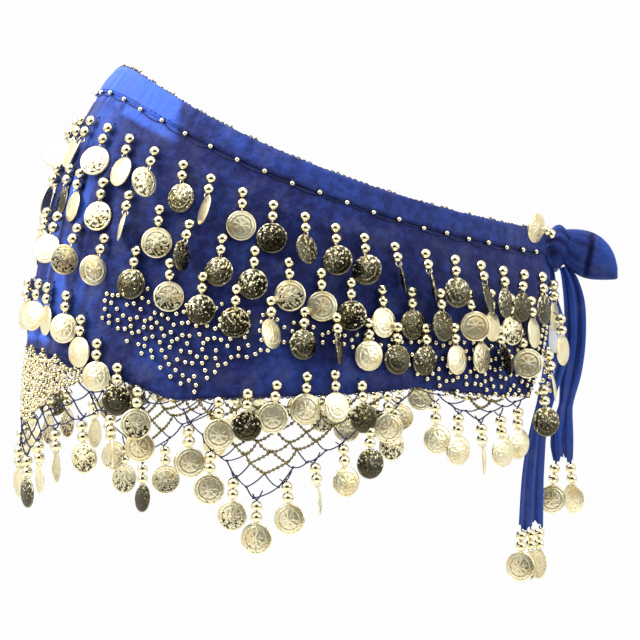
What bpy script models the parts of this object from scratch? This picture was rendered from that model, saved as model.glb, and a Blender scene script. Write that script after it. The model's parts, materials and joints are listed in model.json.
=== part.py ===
"""Belly dance hip scarf: a beaded chiffon panel tied at one hip, with coin drops and bead nets.

The cloth keeps its worn, hollow shape. Every piece is placed on one hip form by three values:
turn is the angle in degrees round the form from the scarf's own centre, height is the world Z,
and out is the distance off the form along its normal. Depth is measured straight down from the
scarf's top edge. The front of the scarf faces -Y and its centre lies over the hip at -X.
"""

import math
from collections import namedtuple

import bmesh
import bpy
from mathutils import Vector

SCARF = "hip_scarf"

# Hip form
HIP_HALF_WIDTH = 0.172
HIP_DEPTH_RATIO = 0.72
HIP_LINE = -0.177
TAPER_HEIGHT = 0.233
TAPER_BROAD = 0.045
TAPER_WAIST = 0.014
CENTRE_HEADING = 170.0

# Top edge, a tilted loop with a slight saddle
EDGE_TILT = 0.048
EDGE_SADDLE = 0.0084

# Beaded panel: its ends lean in towards the scarf's centre as they go down
END_COLUMN = 151.0
LEAN_PER_METRE = 1.4
CLOTH = 0.0012
SEAM = 0.0004
BAND_DEPTH = 0.014
BAND_CLOTH = 0.0010
BODY_ROWS = 8

Corner = namedtuple("Corner", "column depth")
CENTRE_CORNER = Corner(63.0, 0.157)
SIDE_CORNER = Corner(117.0, 0.106)
END_CORNER = Corner(END_COLUMN, 0.098)
CENTRE_TIP = Corner(0.0, 0.218)
SIDE_TIP = Corner(91.0, 0.192)
END_TIP = Corner(136.0, 0.115)

Span = namedtuple("Span", "start end columns")
PANEL_SPANS = (
    Span(-END_COLUMN, -SIDE_CORNER.column, 8),
    Span(-SIDE_CORNER.column, -CENTRE_CORNER.column, 14),
    Span(-CENTRE_CORNER.column, CENTRE_CORNER.column, 30),
    Span(CENTRE_CORNER.column, SIDE_CORNER.column, 14),
    Span(SIDE_CORNER.column, END_COLUMN, 8),
)

# Soft upright folds: where each stands, how wide and how proud it is, and the depths it covers
FOLD_LEAD = 0.020
Fold = namedtuple("Fold", "turn spread rise top foot")
FOLDS = (
    Fold(-139.0, 7.0, 0.0024, 0.020, 0.100),
    Fold(-118.0, 6.5, 0.0018, 0.030, 0.110),
    Fold(-88.0, 7.5, 0.0020, 0.040, 0.140),
    Fold(-57.0, 6.5, 0.0022, 0.030, 0.160),
    Fold(-28.0, 8.0, 0.0030, 0.025, 0.165),
    Fold(-4.0, 7.5, 0.0026, 0.035, 0.165),
    Fold(16.0, 7.0, 0.0034, 0.025, 0.165),
    Fold(32.0, 6.5, 0.0024, 0.030, 0.160),
    Fold(70.0, 7.0, 0.0016, 0.060, 0.150),
    Fold(112.0, 6.5, 0.0018, 0.030, 0.110),
    Fold(136.0, 6.5, 0.0026, 0.015, 0.100),
)

# Nets: how many cells each has along an edge, and the thread they are knotted from
CENTRE_NET_CELLS = 12
SIDE_NET_CELLS = 9
END_NET_CELLS = 4
# Spacing of the drops on each net's lower edge, by the net's number of cells
FRINGE_SPACING = {CENTRE_NET_CELLS: 0.0195, SIDE_NET_CELLS: 0.0184, END_NET_CELLS: 0.0195}
NET_THREAD = 0.0018
NET_DEPTH = 0.0014
NET_SEAM = 0.0006
NET_CORNER_INSET = 0.5

# Rows of coin drops on the cloth
RowPoint = namedtuple("RowPoint", "turn depth")
UPPER_ROW = (RowPoint(0, 0.026), RowPoint(180, 0.026))
MIDDLE_ROW = (
    RowPoint(0, 0.052),
    RowPoint(60, 0.055),
    RowPoint(90, 0.053),
    RowPoint(104, 0.046),
    RowPoint(117, 0.040),
    RowPoint(180, 0.038),
)
LOWER_ROW = (
    RowPoint(0, 0.077),
    RowPoint(20, 0.081),
    RowPoint(75, 0.078),
    RowPoint(98, 0.069),
    RowPoint(115, 0.058),
    RowPoint(180, 0.056),
)
CENTRE_PEAK_ROW = (
    RowPoint(-44.0, 0.158),
    RowPoint(-19.0, 0.117),
    RowPoint(19.0, 0.117),
    RowPoint(44.0, 0.158),
)
SIDE_PEAK_ROW = (RowPoint(56.0, 0.148), RowPoint(80.0, 0.106), RowPoint(95.0, 0.111))
COIN_SPACING = 0.0178
ROW_END_MARGIN = 8.5
ROW_OVERHANG = 1.5
PILE_START = 92.0
PILE_END = 108.0
PILE_STEP = 0.0034

# Backing strip that each line of drops hangs from
STRIP_GAP = 0.0008
STRIP_THICK = 0.0014
STRIP_DEEP = 0.0022
STRIP_BELOW_NET = 0.0006
FRINGE_MARGIN = 0.04
ROOT_HALF = 0.0012

# One drop: two beads over a flat coin, given at distances below its root
Level = namedtuple("Level", "fall width thick out")
DROP = (
    Level(0.012, 0.0050, 0.0038, 0.0026),
    Level(0.021, 0.0165, 0.0012, 0.0036),
    Level(0.030, 0.0080, 0.0012, 0.0036),
)
ROW_TWIST = math.radians(5.0)
HEM_TWIST = math.radians(11.0)
TWIST_STEP = 2.4

# Drops sewn down the panel's two short ends
END_DROPS = 4
END_DROP_TOP = 0.030
END_DROP_FOOT = 0.092
END_DROP_INSET = 0.6
END_DROP_STAGGER = 0.0042

# Tie: a plain strap behind, the knot, its loop and two tails
KNOT_TURN = 151.5
KNOT_HEIGHT = -0.048
KNOT_OUT = 0.0072
KNOT_HALF = Vector((0.0086, 0.0083, 0.0148))
LOOP_HEADING = math.radians(-32.0)
LOOP_SIDES = 10
TieSection = namedtuple("TieSection", "height turn out width twist")
LONG_TAIL = (
    TieSection(-0.0500, 152.1, -0.0024, 0.0100, 0),
    TieSection(-0.0640, 151.4, -0.0022, 0.0145, 0),
    TieSection(-0.0780, 149.0, -0.0022, 0.0130, 12),
    TieSection(-0.0921, 146.9, -0.0004, 0.0125, 46),
    TieSection(-0.1084, 145.0, 0.0004, 0.0140, 57),
    TieSection(-0.1213, 142.6, -0.0018, 0.0145, 42),
    TieSection(-0.1340, 138.8, -0.0038, 0.0170, 18),
    TieSection(-0.1500, 135.0, -0.0050, 0.0200, 0),
    TieSection(-0.1740, 132.8, -0.0050, 0.0220, 0),
    TieSection(-0.2060, 131.8, -0.0045, 0.0240, 0),
)
SHORT_TAIL = (
    TieSection(-0.0600, 151.5, 0.0072, 0.0070, 40),
    TieSection(-0.0680, 151.3, 0.0098, 0.0100, 62),
    TieSection(-0.0816, 151.3, 0.0104, 0.0124, 68),
    TieSection(-0.1027, 150.9, 0.0082, 0.0124, 68),
    TieSection(-0.1213, 150.0, 0.0044, 0.0125, 66),
    TieSection(-0.1371, 147.6, 0.0022, 0.0085, 60),
    TieSection(-0.1443, 146.0, 0.0016, 0.0096, 62),
    TieSection(-0.1588, 144.0, 0.0012, 0.0132, 64),
    TieSection(-0.1700, 143.2, 0.0024, 0.0112, 66),
)
TAIL_CLOTH = 0.0018
STRAP_CLOTH = 0.0020
STRAP_END = 206.1
STRAP_START_GAP = 0.25
STRAP_COLUMNS = 9
STRAP_TOP = (0.002, 0.004)
STRAP_FOOT = (0.034, 0.020)
LoopSection = namedtuple("LoopSection", "reach height half_height half_depth")
LOOP = (
    LoopSection(0.0076, -0.0490, 0.0060, 0.0030),
    LoopSection(0.0120, -0.0495, 0.0120, 0.0058),
    LoopSection(0.0200, -0.0510, 0.0145, 0.0072),
    LoopSection(0.0280, -0.0545, 0.0118, 0.0064),
    LoopSection(0.0345, -0.0580, 0.0072, 0.0040),
)
LONG_TAIL_DROPS = (-0.0085, 0.0, 0.0085)
SHORT_TAIL_DROPS = (-0.0040, 0.0040)
TAIL_DROP_FORM = (
    Level(0.012, 0.0044, 0.0030, 0.0),
    Level(0.021, 0.0150, 0.0010, 0.0),
    Level(0.029, 0.0070, 0.0010, 0.0),
)
TAIL_TWIST = math.radians(72.0)
TAIL_OVERHANG = 0.0036
KNOT_DROP_START = (149.4, -0.0395, 0.0105)
KNOT_DROP_END = (137.4, -0.0235, 0.0075)
LABEL_SECTIONS = LONG_TAIL[3:5]
LABEL_WIDTH = 0.010
LABEL_CLOTH = 0.0010

# Finishes: base colour, roughness, metallic
CHIFFON = ("blue_chiffon", (0.010, 0.024, 0.230), 0.62, 0.0)
HEM_CHIFFON = ("doubled_chiffon", (0.016, 0.040, 0.330), 0.60, 0.0)
GOLD = ("champagne_gold", (0.780, 0.690, 0.400), 0.28, 1.0)
BEAD_THREAD = ("beaded_thread", (0.420, 0.340, 0.130), 0.45, 0.4)
SATIN = ("white_satin", (0.620, 0.640, 0.660), 0.50, 0.0)

# Small steps for lengths and slopes on the form
STEP = 1e-4
FRAME_TURN = 0.5
FRAME_RISE = 0.002
PATH_SAMPLES = 240


def clear_scene():
    """Remove whatever the open file holds."""
    for item in list(bpy.data.objects):
        bpy.data.objects.remove(item, do_unlink=True)


def make_material(finish):
    """A Principled material from a name, a base colour, a roughness and a metallic value."""
    name, colour, roughness, metallic = finish
    found = bpy.data.materials.get(name)
    if found:
        return found
    material = bpy.data.materials.new(name)
    material.use_nodes = True
    shader = material.node_tree.nodes["Principled BSDF"]
    shader.inputs["Base Color"].default_value = (*colour, 1.0)
    shader.inputs["Roughness"].default_value = roughness
    shader.inputs["Metallic"].default_value = metallic
    material.diffuse_color = (*colour, 1.0)
    return material


def add_piece(collection, name, bm, finish, smooth=False):
    """Turn a bmesh into a named object with its own finish."""
    bmesh.ops.recalc_face_normals(bm, faces=bm.faces)
    mesh = bpy.data.meshes.new(name)
    bm.to_mesh(mesh)
    bm.free()
    mesh.materials.append(make_material(finish))
    if smooth:
        mesh.shade_smooth()
    piece = bpy.data.objects.new(name, mesh)
    collection.objects.link(piece)
    return piece


def thicken(piece, thickness):
    """Give an open cloth surface its thickness, outwards."""
    solid = piece.modifiers.new("cloth", "SOLIDIFY")
    solid.thickness = thickness
    solid.offset = 1.0


def blend(low, high, value):
    """Smooth rise from 0 at low to 1 at high."""
    share = min(max((value - low) / (high - low), 0.0), 1.0)
    return share * share * (3.0 - 2.0 * share)


def between(points, turn):
    """Depth of a row at a turn, straight between the row's points."""
    for left, right in zip(points, points[1:]):
        if turn <= right.turn:
            share = (turn - left.turn) / (right.turn - left.turn)
            return left.depth + (right.depth - left.depth) * share
    return points[-1].depth


def top_edge(turn):
    """Height of the scarf's top edge."""
    angle = math.radians(turn)
    return EDGE_TILT * math.cos(angle) + EDGE_SADDLE * math.cos(2.0 * angle)


def half_width(height):
    """Half width of the hip form, which tapers upwards to the waist."""
    rise = max(height - HIP_LINE, 0.0) / TAPER_HEIGHT
    return HIP_HALF_WIDTH - TAPER_BROAD * rise ** 2 - TAPER_WAIST * rise ** 8


def fold_rise(turn, height):
    """How far the folds lift the cloth off the hip form."""
    depth = top_edge(turn) - height
    rise = 0.0
    for fold in FOLDS:
        ridge = math.exp(-((turn - fold.turn) / fold.spread) ** 2)
        middle = (fold.top + fold.foot) / 2.0
        opening = blend(fold.top - FOLD_LEAD, middle, depth)
        rise += fold.rise * ridge * opening
    return rise


def form_point(turn, height):
    """Point on the hip form, folds included."""
    angle = math.radians(CENTRE_HEADING + turn)
    width = half_width(height)
    lift = fold_rise(turn, height)
    across = (width + lift) * math.cos(angle)
    along = (width * HIP_DEPTH_RATIO + lift) * math.sin(angle)
    return Vector((across, along, height))


def form_frame(turn, height):
    """Level tangent and outward normal of the hip form."""
    tangent = form_point(turn + FRAME_TURN, height) - form_point(turn - FRAME_TURN, height)
    rise = form_point(turn, height + FRAME_RISE) - form_point(turn, height - FRAME_RISE)
    return tangent.normalized(), tangent.cross(rise).normalized()


def on_form(turn, height, out=0.0):
    """Point at a distance off the hip form."""
    return form_point(turn, height) + form_frame(turn, height)[1] * out


def panel_turn(column, depth):
    """Turn of one of the cloth's columns, which lean in as they go down."""
    return column * (1.0 - LEAN_PER_METRE * depth)


def on_cloth(column, depth, out=0.0):
    """Point of the panel's cloth by its own column and depth."""
    turn = panel_turn(column, depth)
    return on_form(turn, top_edge(turn) - depth, out)


def hem_depth(column):
    """Depth of the cloth's hem, straight between the net corners."""
    place = abs(column)
    if place <= CENTRE_CORNER.column:
        return CENTRE_CORNER.depth
    for upper, lower in ((CENTRE_CORNER, SIDE_CORNER), (SIDE_CORNER, END_CORNER)):
        if place <= lower.column:
            share = (place - upper.column) / (lower.column - upper.column)
            return upper.depth + (lower.depth - upper.depth) * share
    return END_CORNER.depth


def hem_corner(column):
    """The hem's own point at a column."""
    return Corner(column, hem_depth(column))


def panel_columns():
    """Columns of the panel, with one at every net corner."""
    columns = [PANEL_SPANS[0].start]
    for span in PANEL_SPANS:
        width = (span.end - span.start) / span.columns
        columns += [span.start + width * (step + 1) for step in range(span.columns)]
    return columns


def cloth_sheet(collection, name, columns, depths, out, thickness, finish):
    """A sheet of the panel's own points, moved out and thickened."""
    across = len(columns) - 1
    down = len(depths(columns[0])) - 1
    bm = bmesh.new()
    bmesh.ops.create_grid(bm, x_segments=across, y_segments=down, size=1.0)
    for vertex in bm.verts:
        column = columns[round((vertex.co.x + 1.0) / 2.0 * across)]
        row = round((1.0 - vertex.co.y) / 2.0 * down)
        vertex.co = on_cloth(column, depths(column)[row], out)
    piece = add_piece(collection, name, bm, finish, smooth=True)
    thicken(piece, thickness)
    return piece


def panel_depths(column):
    """Depths of the panel's rows: the hem band's two edges, then even steps to the hem."""
    step = (hem_depth(column) - BAND_DEPTH) / (BODY_ROWS - 1)
    return [0.0] + [BAND_DEPTH + step * row for row in range(BODY_ROWS)]


def build_panel(collection):
    """The main cloth and the doubled band along its top edge."""
    columns = panel_columns()
    cloth_sheet(collection, "beaded_panel", columns, panel_depths, 0.0, CLOTH, CHIFFON)
    cloth_sheet(
        collection,
        "top_hem_band",
        columns,
        lambda column: [0.0, BAND_DEPTH],
        CLOTH + SEAM,
        BAND_CLOTH,
        HEM_CHIFFON,
    )


def build_net(collection, name, left, right, tip, cells):
    """A hanging net: a triangle of diamond cells, each with its middle cut away."""
    bm = bmesh.new()
    knots = {}
    for a in range(cells + 1):
        for b in range(cells + 1 - a):
            column = tip.column + (left.column - tip.column) * a / cells
            column += (right.column - tip.column) * b / cells
            depth = tip.depth + (left.depth - tip.depth) * a / cells
            depth += (right.depth - tip.depth) * b / cells
            knots[a, b] = bm.verts.new(on_cloth(column, depth + NET_SEAM))
    for a in range(cells):
        for b in range(cells - a):
            corners = [knots[a, b], knots[a, b + 1], knots[a + 1, b]]
            if a + b < cells - 1:
                corners.insert(2, knots[a + 1, b + 1])
            bm.faces.new(corners)
    bm.normal_update()
    cut = bmesh.ops.inset_individual(
        bm, faces=bm.faces[:], thickness=NET_THREAD / 2.0, use_even_offset=True
    )
    rims = set(cut["faces"])
    middles = [face for face in bm.faces if face not in rims]
    bmesh.ops.delete(bm, geom=middles, context="FACES_ONLY")
    piece = add_piece(collection, name, bm, BEAD_THREAD)
    face_outwards(piece)
    thicken(piece, NET_DEPTH)


def face_outwards(piece):
    """Point an open sheet's faces away from the middle of the hip form."""
    mesh = piece.data
    away = sum(
        face.normal.dot(Vector((face.center.x, face.center.y, 0.0))) for face in mesh.polygons
    )
    if away < 0.0:
        mesh.flip_normals()


def bridge(bm, first, second):
    """Join two rings of the same number of corners with faces."""
    count = len(first)
    for side in range(count):
        follow = (side + 1) % count
        bm.faces.new((first[side], first[follow], second[follow], second[side]))


def drop_ring(bm, centre, tangent, normal, level, twist):
    """One four-cornered section of a drop."""
    across = tangent * math.cos(twist) + normal * math.sin(twist)
    through = normal * math.cos(twist) - tangent * math.sin(twist)
    half_across = across * (level.width / 2.0)
    half_through = through * (level.thick / 2.0)
    corners = (
        centre - half_across - half_through,
        centre + half_across - half_through,
        centre + half_across + half_through,
        centre - half_across + half_through,
    )
    return [bm.verts.new(corner) for corner in corners]


def even_steps(path, start, end, spacing):
    """Values between start and end that stand an even distance apart along a path."""
    reach = end - start
    values = [start + reach * step / PATH_SAMPLES for step in range(PATH_SAMPLES + 1)]
    points = [on_form(*path(value)) for value in values]
    lengths = [0.0]
    for before, after in zip(points, points[1:]):
        lengths.append(lengths[-1] + (after - before).length)
    count = max(round(lengths[-1] / spacing), 1)
    steps = []
    for index in range(count):
        target = lengths[-1] * (index + 0.5) / count
        place = next(i for i, length in enumerate(lengths) if length >= target)
        share = (target - lengths[place - 1]) / (lengths[place] - lengths[place - 1])
        steps.append(values[place - 1] + (values[place] - values[place - 1]) * share)
    return steps


def root_reach(path, value, out):
    """Half a root's width as a step along the path."""
    ahead = on_form(*path(value + STEP), out(value + STEP))
    behind = on_form(*path(value - STEP), out(value - STEP))
    return ROOT_HALF * 2.0 * STEP / (ahead - behind).length


def strip_ring(bm, path, value, out):
    """One three-cornered section of a backing strip: inner foot, outer foot, top."""
    turn, height = path(value)
    foot = height - STRIP_DEEP
    inner = out(value)
    return [
        bm.verts.new(on_form(turn, foot, inner)),
        bm.verts.new(on_form(turn, foot, inner + STRIP_THICK)),
        bm.verts.new(on_form(turn, height, inner + STRIP_THICK / 2.0)),
    ]


def hang_drop(bm, root, turn, height, form, out, lift, twist, follows, heading=1.0):
    """Loft one drop from its root's four corners."""
    tangent, normal = form_frame(turn, height)
    ring = root
    for level in form:
        if follows:
            below = height - level.fall
            tangent, normal = form_frame(turn, below)
            centre = on_form(turn, below, out + level.out + lift)
        else:
            centre = on_form(turn, height, out + STRIP_THICK / 2.0)
            centre.z -= level.fall
        after = drop_ring(bm, centre, tangent * heading, normal, level, twist)
        bridge(bm, ring, after)
        ring = after
    bm.faces.new(ring)


def build_fringe(collection, name, path, drops, ends, out, form=DROP, **ways):
    """A backing strip along a path, out(value) off the form, with a drop at each given value."""
    kinks = ways.get("kinks", ())
    lift = ways.get("lift", lambda index, turn: 0.0)
    follows = ways.get("follows", True)
    twist = ways.get("twist", ROW_TWIST)
    facing = ways.get("facing", 0.0)
    bm = bmesh.new()
    stations = []
    for index, value in enumerate(drops):
        reach = root_reach(path, value, out)
        stations.append((value - reach, index))
        stations.append((value + reach, None))
    stations += [(value, None) for value in (*kinks, *ends)]
    stations.sort(key=lambda station: station[0])
    rings = [strip_ring(bm, path, value, out) for value, _ in stations]
    heading = 1.0 if path(ends[1])[0] > path(ends[0])[0] else -1.0
    for place, (value, index) in enumerate(stations[:-1]):
        before = rings[place]
        after = rings[place + 1]
        if index is None:
            bridge(bm, before, after)
            continue
        bm.faces.new((before[1], before[2], after[2], after[1]))
        bm.faces.new((before[2], before[0], after[0], after[2]))
        root = [before[0], after[0], after[1], before[1]]
        turn, height = path(drops[index])
        swing = facing + twist * math.sin(TWIST_STEP * (index + 1))
        raised = lift(index, turn)
        top = height - STRIP_DEEP
        inner = out(drops[index])
        hang_drop(bm, root, turn, top, form, inner, raised, swing, follows, heading)
    bm.faces.new(rings[0])
    bm.faces.new(rings[-1])
    add_piece(collection, name, bm, GOLD)


def row_path(points):
    """Path of a row that is given on one half and mirrored to the other."""
    return lambda turn: (turn, top_edge(turn) - between(points, abs(turn)))


def open_row_path(points):
    """Path of a row that is given from end to end."""
    return lambda turn: (turn, top_edge(turn) - between(points, turn))


def mirrored(path):
    """The same path on the back of the scarf."""

    def back(value):
        turn, height = path(value)
        return -turn, height

    return back


def steady(out):
    """One distance off the form all along a path."""
    return lambda value: out


def pile_lift(layer):
    """Where the rows close up beside the ends, each lies over the next one down."""
    return lambda index, turn: PILE_STEP * layer * blend(PILE_START, PILE_END, abs(turn))


def row_limit(points):
    """Turn at which a row stops short of the panel's leaning end."""
    depth = points[-1].depth
    return panel_turn(END_COLUMN, depth) - ROW_END_MARGIN


def build_rows(collection):
    """The coin rows that are sewn on the cloth."""
    out = CLOTH + STRIP_GAP
    upper = row_path(UPPER_ROW)
    limit = row_limit(UPPER_ROW)
    marks = even_steps(upper, -limit, limit, COIN_SPACING)
    mids = midway(marks)
    rows = (
        ("coin_row_upper", UPPER_ROW, marks, 2),
        ("coin_row_middle", MIDDLE_ROW, mids, 1),
        ("coin_row_lower", LOWER_ROW, marks, 0),
    )
    for name, points, places, layer in rows:
        reach = row_limit(points)
        drops = [turn for turn in places if abs(turn) <= reach]
        ends = (drops[0] - ROW_OVERHANG, drops[-1] + ROW_OVERHANG)
        kinks = midway(drops)
        path = row_path(points)
        lift = pile_lift(layer)
        out_of = steady(out)
        build_fringe(collection, name, path, drops, ends, out_of, kinks=kinks, lift=lift)


def midway(values):
    """Values halfway between neighbours, where a strip bends with the folds."""
    return [(before + after) / 2.0 for before, after in zip(values, values[1:])]


def build_peak_rows(collection):
    """The lowest coins, which rise to a peak over each large net."""
    out = CLOTH + STRIP_GAP
    for points, names in (
        (CENTRE_PEAK_ROW, ("coin_row_centre_peak",)),
        (SIDE_PEAK_ROW, ("coin_row_front_peak", "coin_row_back_peak")),
    ):
        path = open_row_path(points)
        ends = (points[0].turn, points[-1].turn)
        drops = even_steps(path, *ends, COIN_SPACING)
        kinks = midway(drops)
        for name, route in zip(names, (path, mirrored(path))):
            build_fringe(collection, name, route, drops, ends, steady(out), kinks=kinks)


def net_edge_path(left, right, tip):
    """Lower edge of a net, from 0 at its left corner through 1 at its tip to 2."""

    def path(value):
        corner = left if value <= 1.0 else right
        share = abs(value - 1.0)
        column = tip.column + (corner.column - tip.column) * share
        depth = tip.depth + (corner.depth - tip.depth) * share + STRIP_BELOW_NET + NET_SEAM
        turn = panel_turn(column, depth)
        return turn, top_edge(turn) - depth

    return path


def build_nets(collection):
    """Five nets under the hem, each with the coin fringe of its lower edge."""
    centre_left = hem_corner(-CENTRE_CORNER.column)
    nets = (
        (("centre",), centre_left, CENTRE_CORNER, CENTRE_TIP, CENTRE_NET_CELLS),
        (("front", "back"), CENTRE_CORNER, SIDE_CORNER, SIDE_TIP, SIDE_NET_CELLS),
        (("front_end", "back_end"), SIDE_CORNER, END_CORNER, END_TIP, END_NET_CELLS),
    )
    for names, left, right, tip, cells in nets:
        left = hem_corner(left.column + NET_CORNER_INSET)
        right = hem_corner(right.column - NET_CORNER_INSET)
        path = net_edge_path(left, right, tip)
        ends = (FRINGE_MARGIN, 2.0 - FRINGE_MARGIN)
        drops = even_steps(path, *ends, FRINGE_SPACING[cells])
        kinks = [1.0] if all(abs(value - 1.0) > FRINGE_MARGIN for value in drops) else []
        for name, side, route in zip(names, (1.0, -1.0), (path, mirrored(path))):
            corners = [Corner(side * corner.column, corner.depth) for corner in (left, right, tip)]
            build_net(collection, f"{name}_net", *corners, cells)
            build_fringe(
                collection,
                f"{name}_net_fringe",
                route,
                drops,
                ends,
                steady(0.0),
                kinks=kinks,
                follows=False,
                twist=HEM_TWIST,
            )


def build_end_drops(collection):
    """Drops one above another down each short end of the panel."""
    for name, side in (("near_end_drops", 1.0), ("far_end_drops", -1.0)):

        def path(depth, side=side):
            turn = side * (panel_turn(END_COLUMN, depth) - END_DROP_INSET)
            return turn, top_edge(turn) - depth

        gap = (END_DROP_FOOT - END_DROP_TOP) / (END_DROPS - 1)
        drops = [END_DROP_TOP + gap * index for index in range(END_DROPS)]
        build_upright_fringe(collection, name, path, drops)


def build_upright_fringe(collection, name, path, drops):
    """A backing strip that runs down an edge, with drops that hang beside each other."""
    bm = bmesh.new()
    out = CLOTH + STRIP_GAP
    half = STRIP_THICK / 2.0
    rings = []
    levels = [drops[0] - STRIP_DEEP]
    for depth in drops:
        levels += [depth, depth + STRIP_DEEP]
    for depth in levels:
        turn, height = path(depth)
        tangent, normal = form_frame(turn, height)
        centre = on_form(turn, height, out + half)
        level = Level(0.0, STRIP_THICK, STRIP_THICK, 0.0)
        rings.append(drop_ring(bm, centre, tangent, normal, level, 0.0))
    for before, after in zip(rings, rings[1:]):
        bridge(bm, before, after)
    bm.faces.new(rings[0])
    bm.faces.new(rings[-1])
    bm.faces.ensure_lookup_table()
    for index, depth in enumerate(drops):
        ring = rings[2 * index + 1]
        lower = rings[2 * index + 2]
        outer = {ring[2], ring[3], lower[2], lower[3]}
        face = next(item for item in bm.faces if set(item.verts) == outer)
        bmesh.ops.delete(bm, geom=[face], context="FACES_ONLY")
        turn, height = path(depth)
        lift = END_DROP_STAGGER * (index % 2)
        root = [lower[3], lower[2], ring[2], ring[3]]
        hang_drop(bm, root, turn, height, DROP, out + STRIP_THICK, lift, 0.0, True)
    add_piece(collection, name, bm, GOLD)


def tail_line(last):
    """Line across the cut end of a tail in metres from its middle, and its distance out."""
    middle = form_point(last.turn, last.height)
    ahead = form_point(last.turn + 1.0, last.height)
    per_degree = (ahead - middle).length
    twist = math.radians(last.twist)
    inner = last.out + (TAIL_CLOTH - STRIP_THICK) / 2.0

    def path(across):
        return last.turn + across * math.cos(twist) / per_degree, last.height - SEAM

    return path, lambda across: inner + across * math.sin(twist)


def tail_ring(bm, section, width, thick, off):
    """One section of a tail or of what lies on its face, turned with the tail's own twist."""
    tangent, normal = form_frame(section.turn, section.height)
    twist = math.radians(section.twist)
    face = normal * math.cos(twist) - tangent * math.sin(twist)
    centre = on_form(section.turn, section.height, section.out + TAIL_CLOTH / 2.0) + face * off
    return drop_ring(bm, centre, tangent, normal, Level(0.0, width, thick, 0.0), twist)


def build_tail(collection, name, sections):
    """A flat tie end, lofted from the knot down."""
    bm = bmesh.new()
    rings = [tail_ring(bm, section, section.width, TAIL_CLOTH, 0.0) for section in sections]
    for before, after in zip(rings, rings[1:]):
        bridge(bm, before, after)
    bm.faces.new(rings[0])
    bm.faces.new(rings[-1])
    add_piece(collection, name, bm, CHIFFON)


def build_tail_drops(collection, name, sections, places):
    """Coin drops along the cut end of a tail."""
    path, out = tail_line(sections[-1])
    ends = (places[0] - TAIL_OVERHANG, places[-1] + TAIL_OVERHANG)
    build_fringe(
        collection,
        name,
        path,
        places,
        ends,
        out,
        TAIL_DROP_FORM,
        follows=False,
        twist=TAIL_TWIST,
        facing=math.radians(sections[-1].twist),
    )


def build_knot(collection):
    """The knot, a rounded lump that both ends of the tie run into."""
    bm = bmesh.new()
    bmesh.ops.create_cube(bm, size=2.0)
    tangent, normal = form_frame(KNOT_TURN, KNOT_HEIGHT)
    centre = on_form(KNOT_TURN, KNOT_HEIGHT, KNOT_OUT)
    for vertex in bm.verts:
        across = tangent * (vertex.co.x * KNOT_HALF.x)
        through = normal * (vertex.co.y * KNOT_HALF.y)
        upright = Vector((0.0, 0.0, vertex.co.z * KNOT_HALF.z))
        vertex.co = centre + across + through + upright
    piece = add_piece(collection, "tie_knot", bm, CHIFFON, smooth=True)
    soft = piece.modifiers.new("soft", "SUBSURF")
    soft.levels = 2
    soft.render_levels = 2


def build_loop(collection):
    """The loop of the bow, a flattened bag of cloth beside the knot."""
    bm = bmesh.new()
    heading = Vector((math.cos(LOOP_HEADING), math.sin(LOOP_HEADING), 0.0))
    side = Vector((-heading.y, heading.x, 0.0))
    knot = on_form(KNOT_TURN, KNOT_HEIGHT, KNOT_OUT)
    rings = []
    for section in LOOP:
        ring = []
        for step in range(LOOP_SIDES):
            angle = 2.0 * math.pi * step / LOOP_SIDES
            point = knot + heading * section.reach
            point += side * (section.half_depth * math.cos(angle))
            point.z = section.height + section.half_height * math.sin(angle)
            ring.append(bm.verts.new(point))
        rings.append(ring)
    for before, after in zip(rings, rings[1:]):
        bridge(bm, before, after)
    bm.faces.new(rings[0])
    bm.faces.new(rings[-1])
    add_piece(collection, "tie_loop", bm, CHIFFON, smooth=True)


def build_strap(collection):
    """The far tie, which runs plain from the beaded end round to the knot."""
    bm = bmesh.new()
    bmesh.ops.create_grid(bm, x_segments=STRAP_COLUMNS, y_segments=2, size=1.0)
    start = END_COLUMN + STRAP_START_GAP
    for vertex in bm.verts:
        share = (1.0 - vertex.co.x) / 2.0
        level = (1.0 - vertex.co.y) / 2.0
        top = STRAP_TOP[0] + (STRAP_TOP[1] - STRAP_TOP[0]) * share
        foot = STRAP_FOOT[0] + (STRAP_FOOT[1] - STRAP_FOOT[0]) * share
        depth = top + (foot - top) * level
        lean = 1.0 - share
        column = start + (STRAP_END - start) * share
        turn = -column * (1.0 - LEAN_PER_METRE * depth * lean)
        vertex.co = on_form(turn, top_edge(turn) - depth)
    piece = add_piece(collection, "tie_strap", bm, CHIFFON, smooth=True)
    face_outwards(piece)
    thicken(piece, STRAP_CLOTH)


def build_knot_drop(collection):
    """A drop that lies turned up over the top edge beside the knot."""
    bm = bmesh.new()
    start = on_form(*KNOT_DROP_START)
    end = on_form(*KNOT_DROP_END)
    along = (end - start).normalized()
    normal = form_frame(KNOT_DROP_START[0], KNOT_DROP_START[1])[1]
    across = along.cross(normal).normalized()
    through = across.cross(along).normalized()
    levels = (Level(0.0, 2.0 * ROOT_HALF, STRIP_THICK, 0.0), *DROP)
    rings = []
    for level in levels:
        centre = start + along * level.fall
        rings.append(drop_ring(bm, centre, across, through, level, 0.0))
    for before, after in zip(rings, rings[1:]):
        bridge(bm, before, after)
    bm.faces.new(rings[0])
    bm.faces.new(rings[-1])
    add_piece(collection, "knot_drop", bm, GOLD)


def build_label(collection):
    """A small blank label on the long tail."""
    bm = bmesh.new()
    off = (TAIL_CLOTH + LABEL_CLOTH) / 2.0 + SEAM
    rings = [
        tail_ring(bm, section, LABEL_WIDTH, LABEL_CLOTH, off) for section in LABEL_SECTIONS
    ]
    bridge(bm, rings[0], rings[1])
    bm.faces.new(rings[0])
    bm.faces.new(rings[1])
    add_piece(collection, "blank_label", bm, SATIN)


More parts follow.
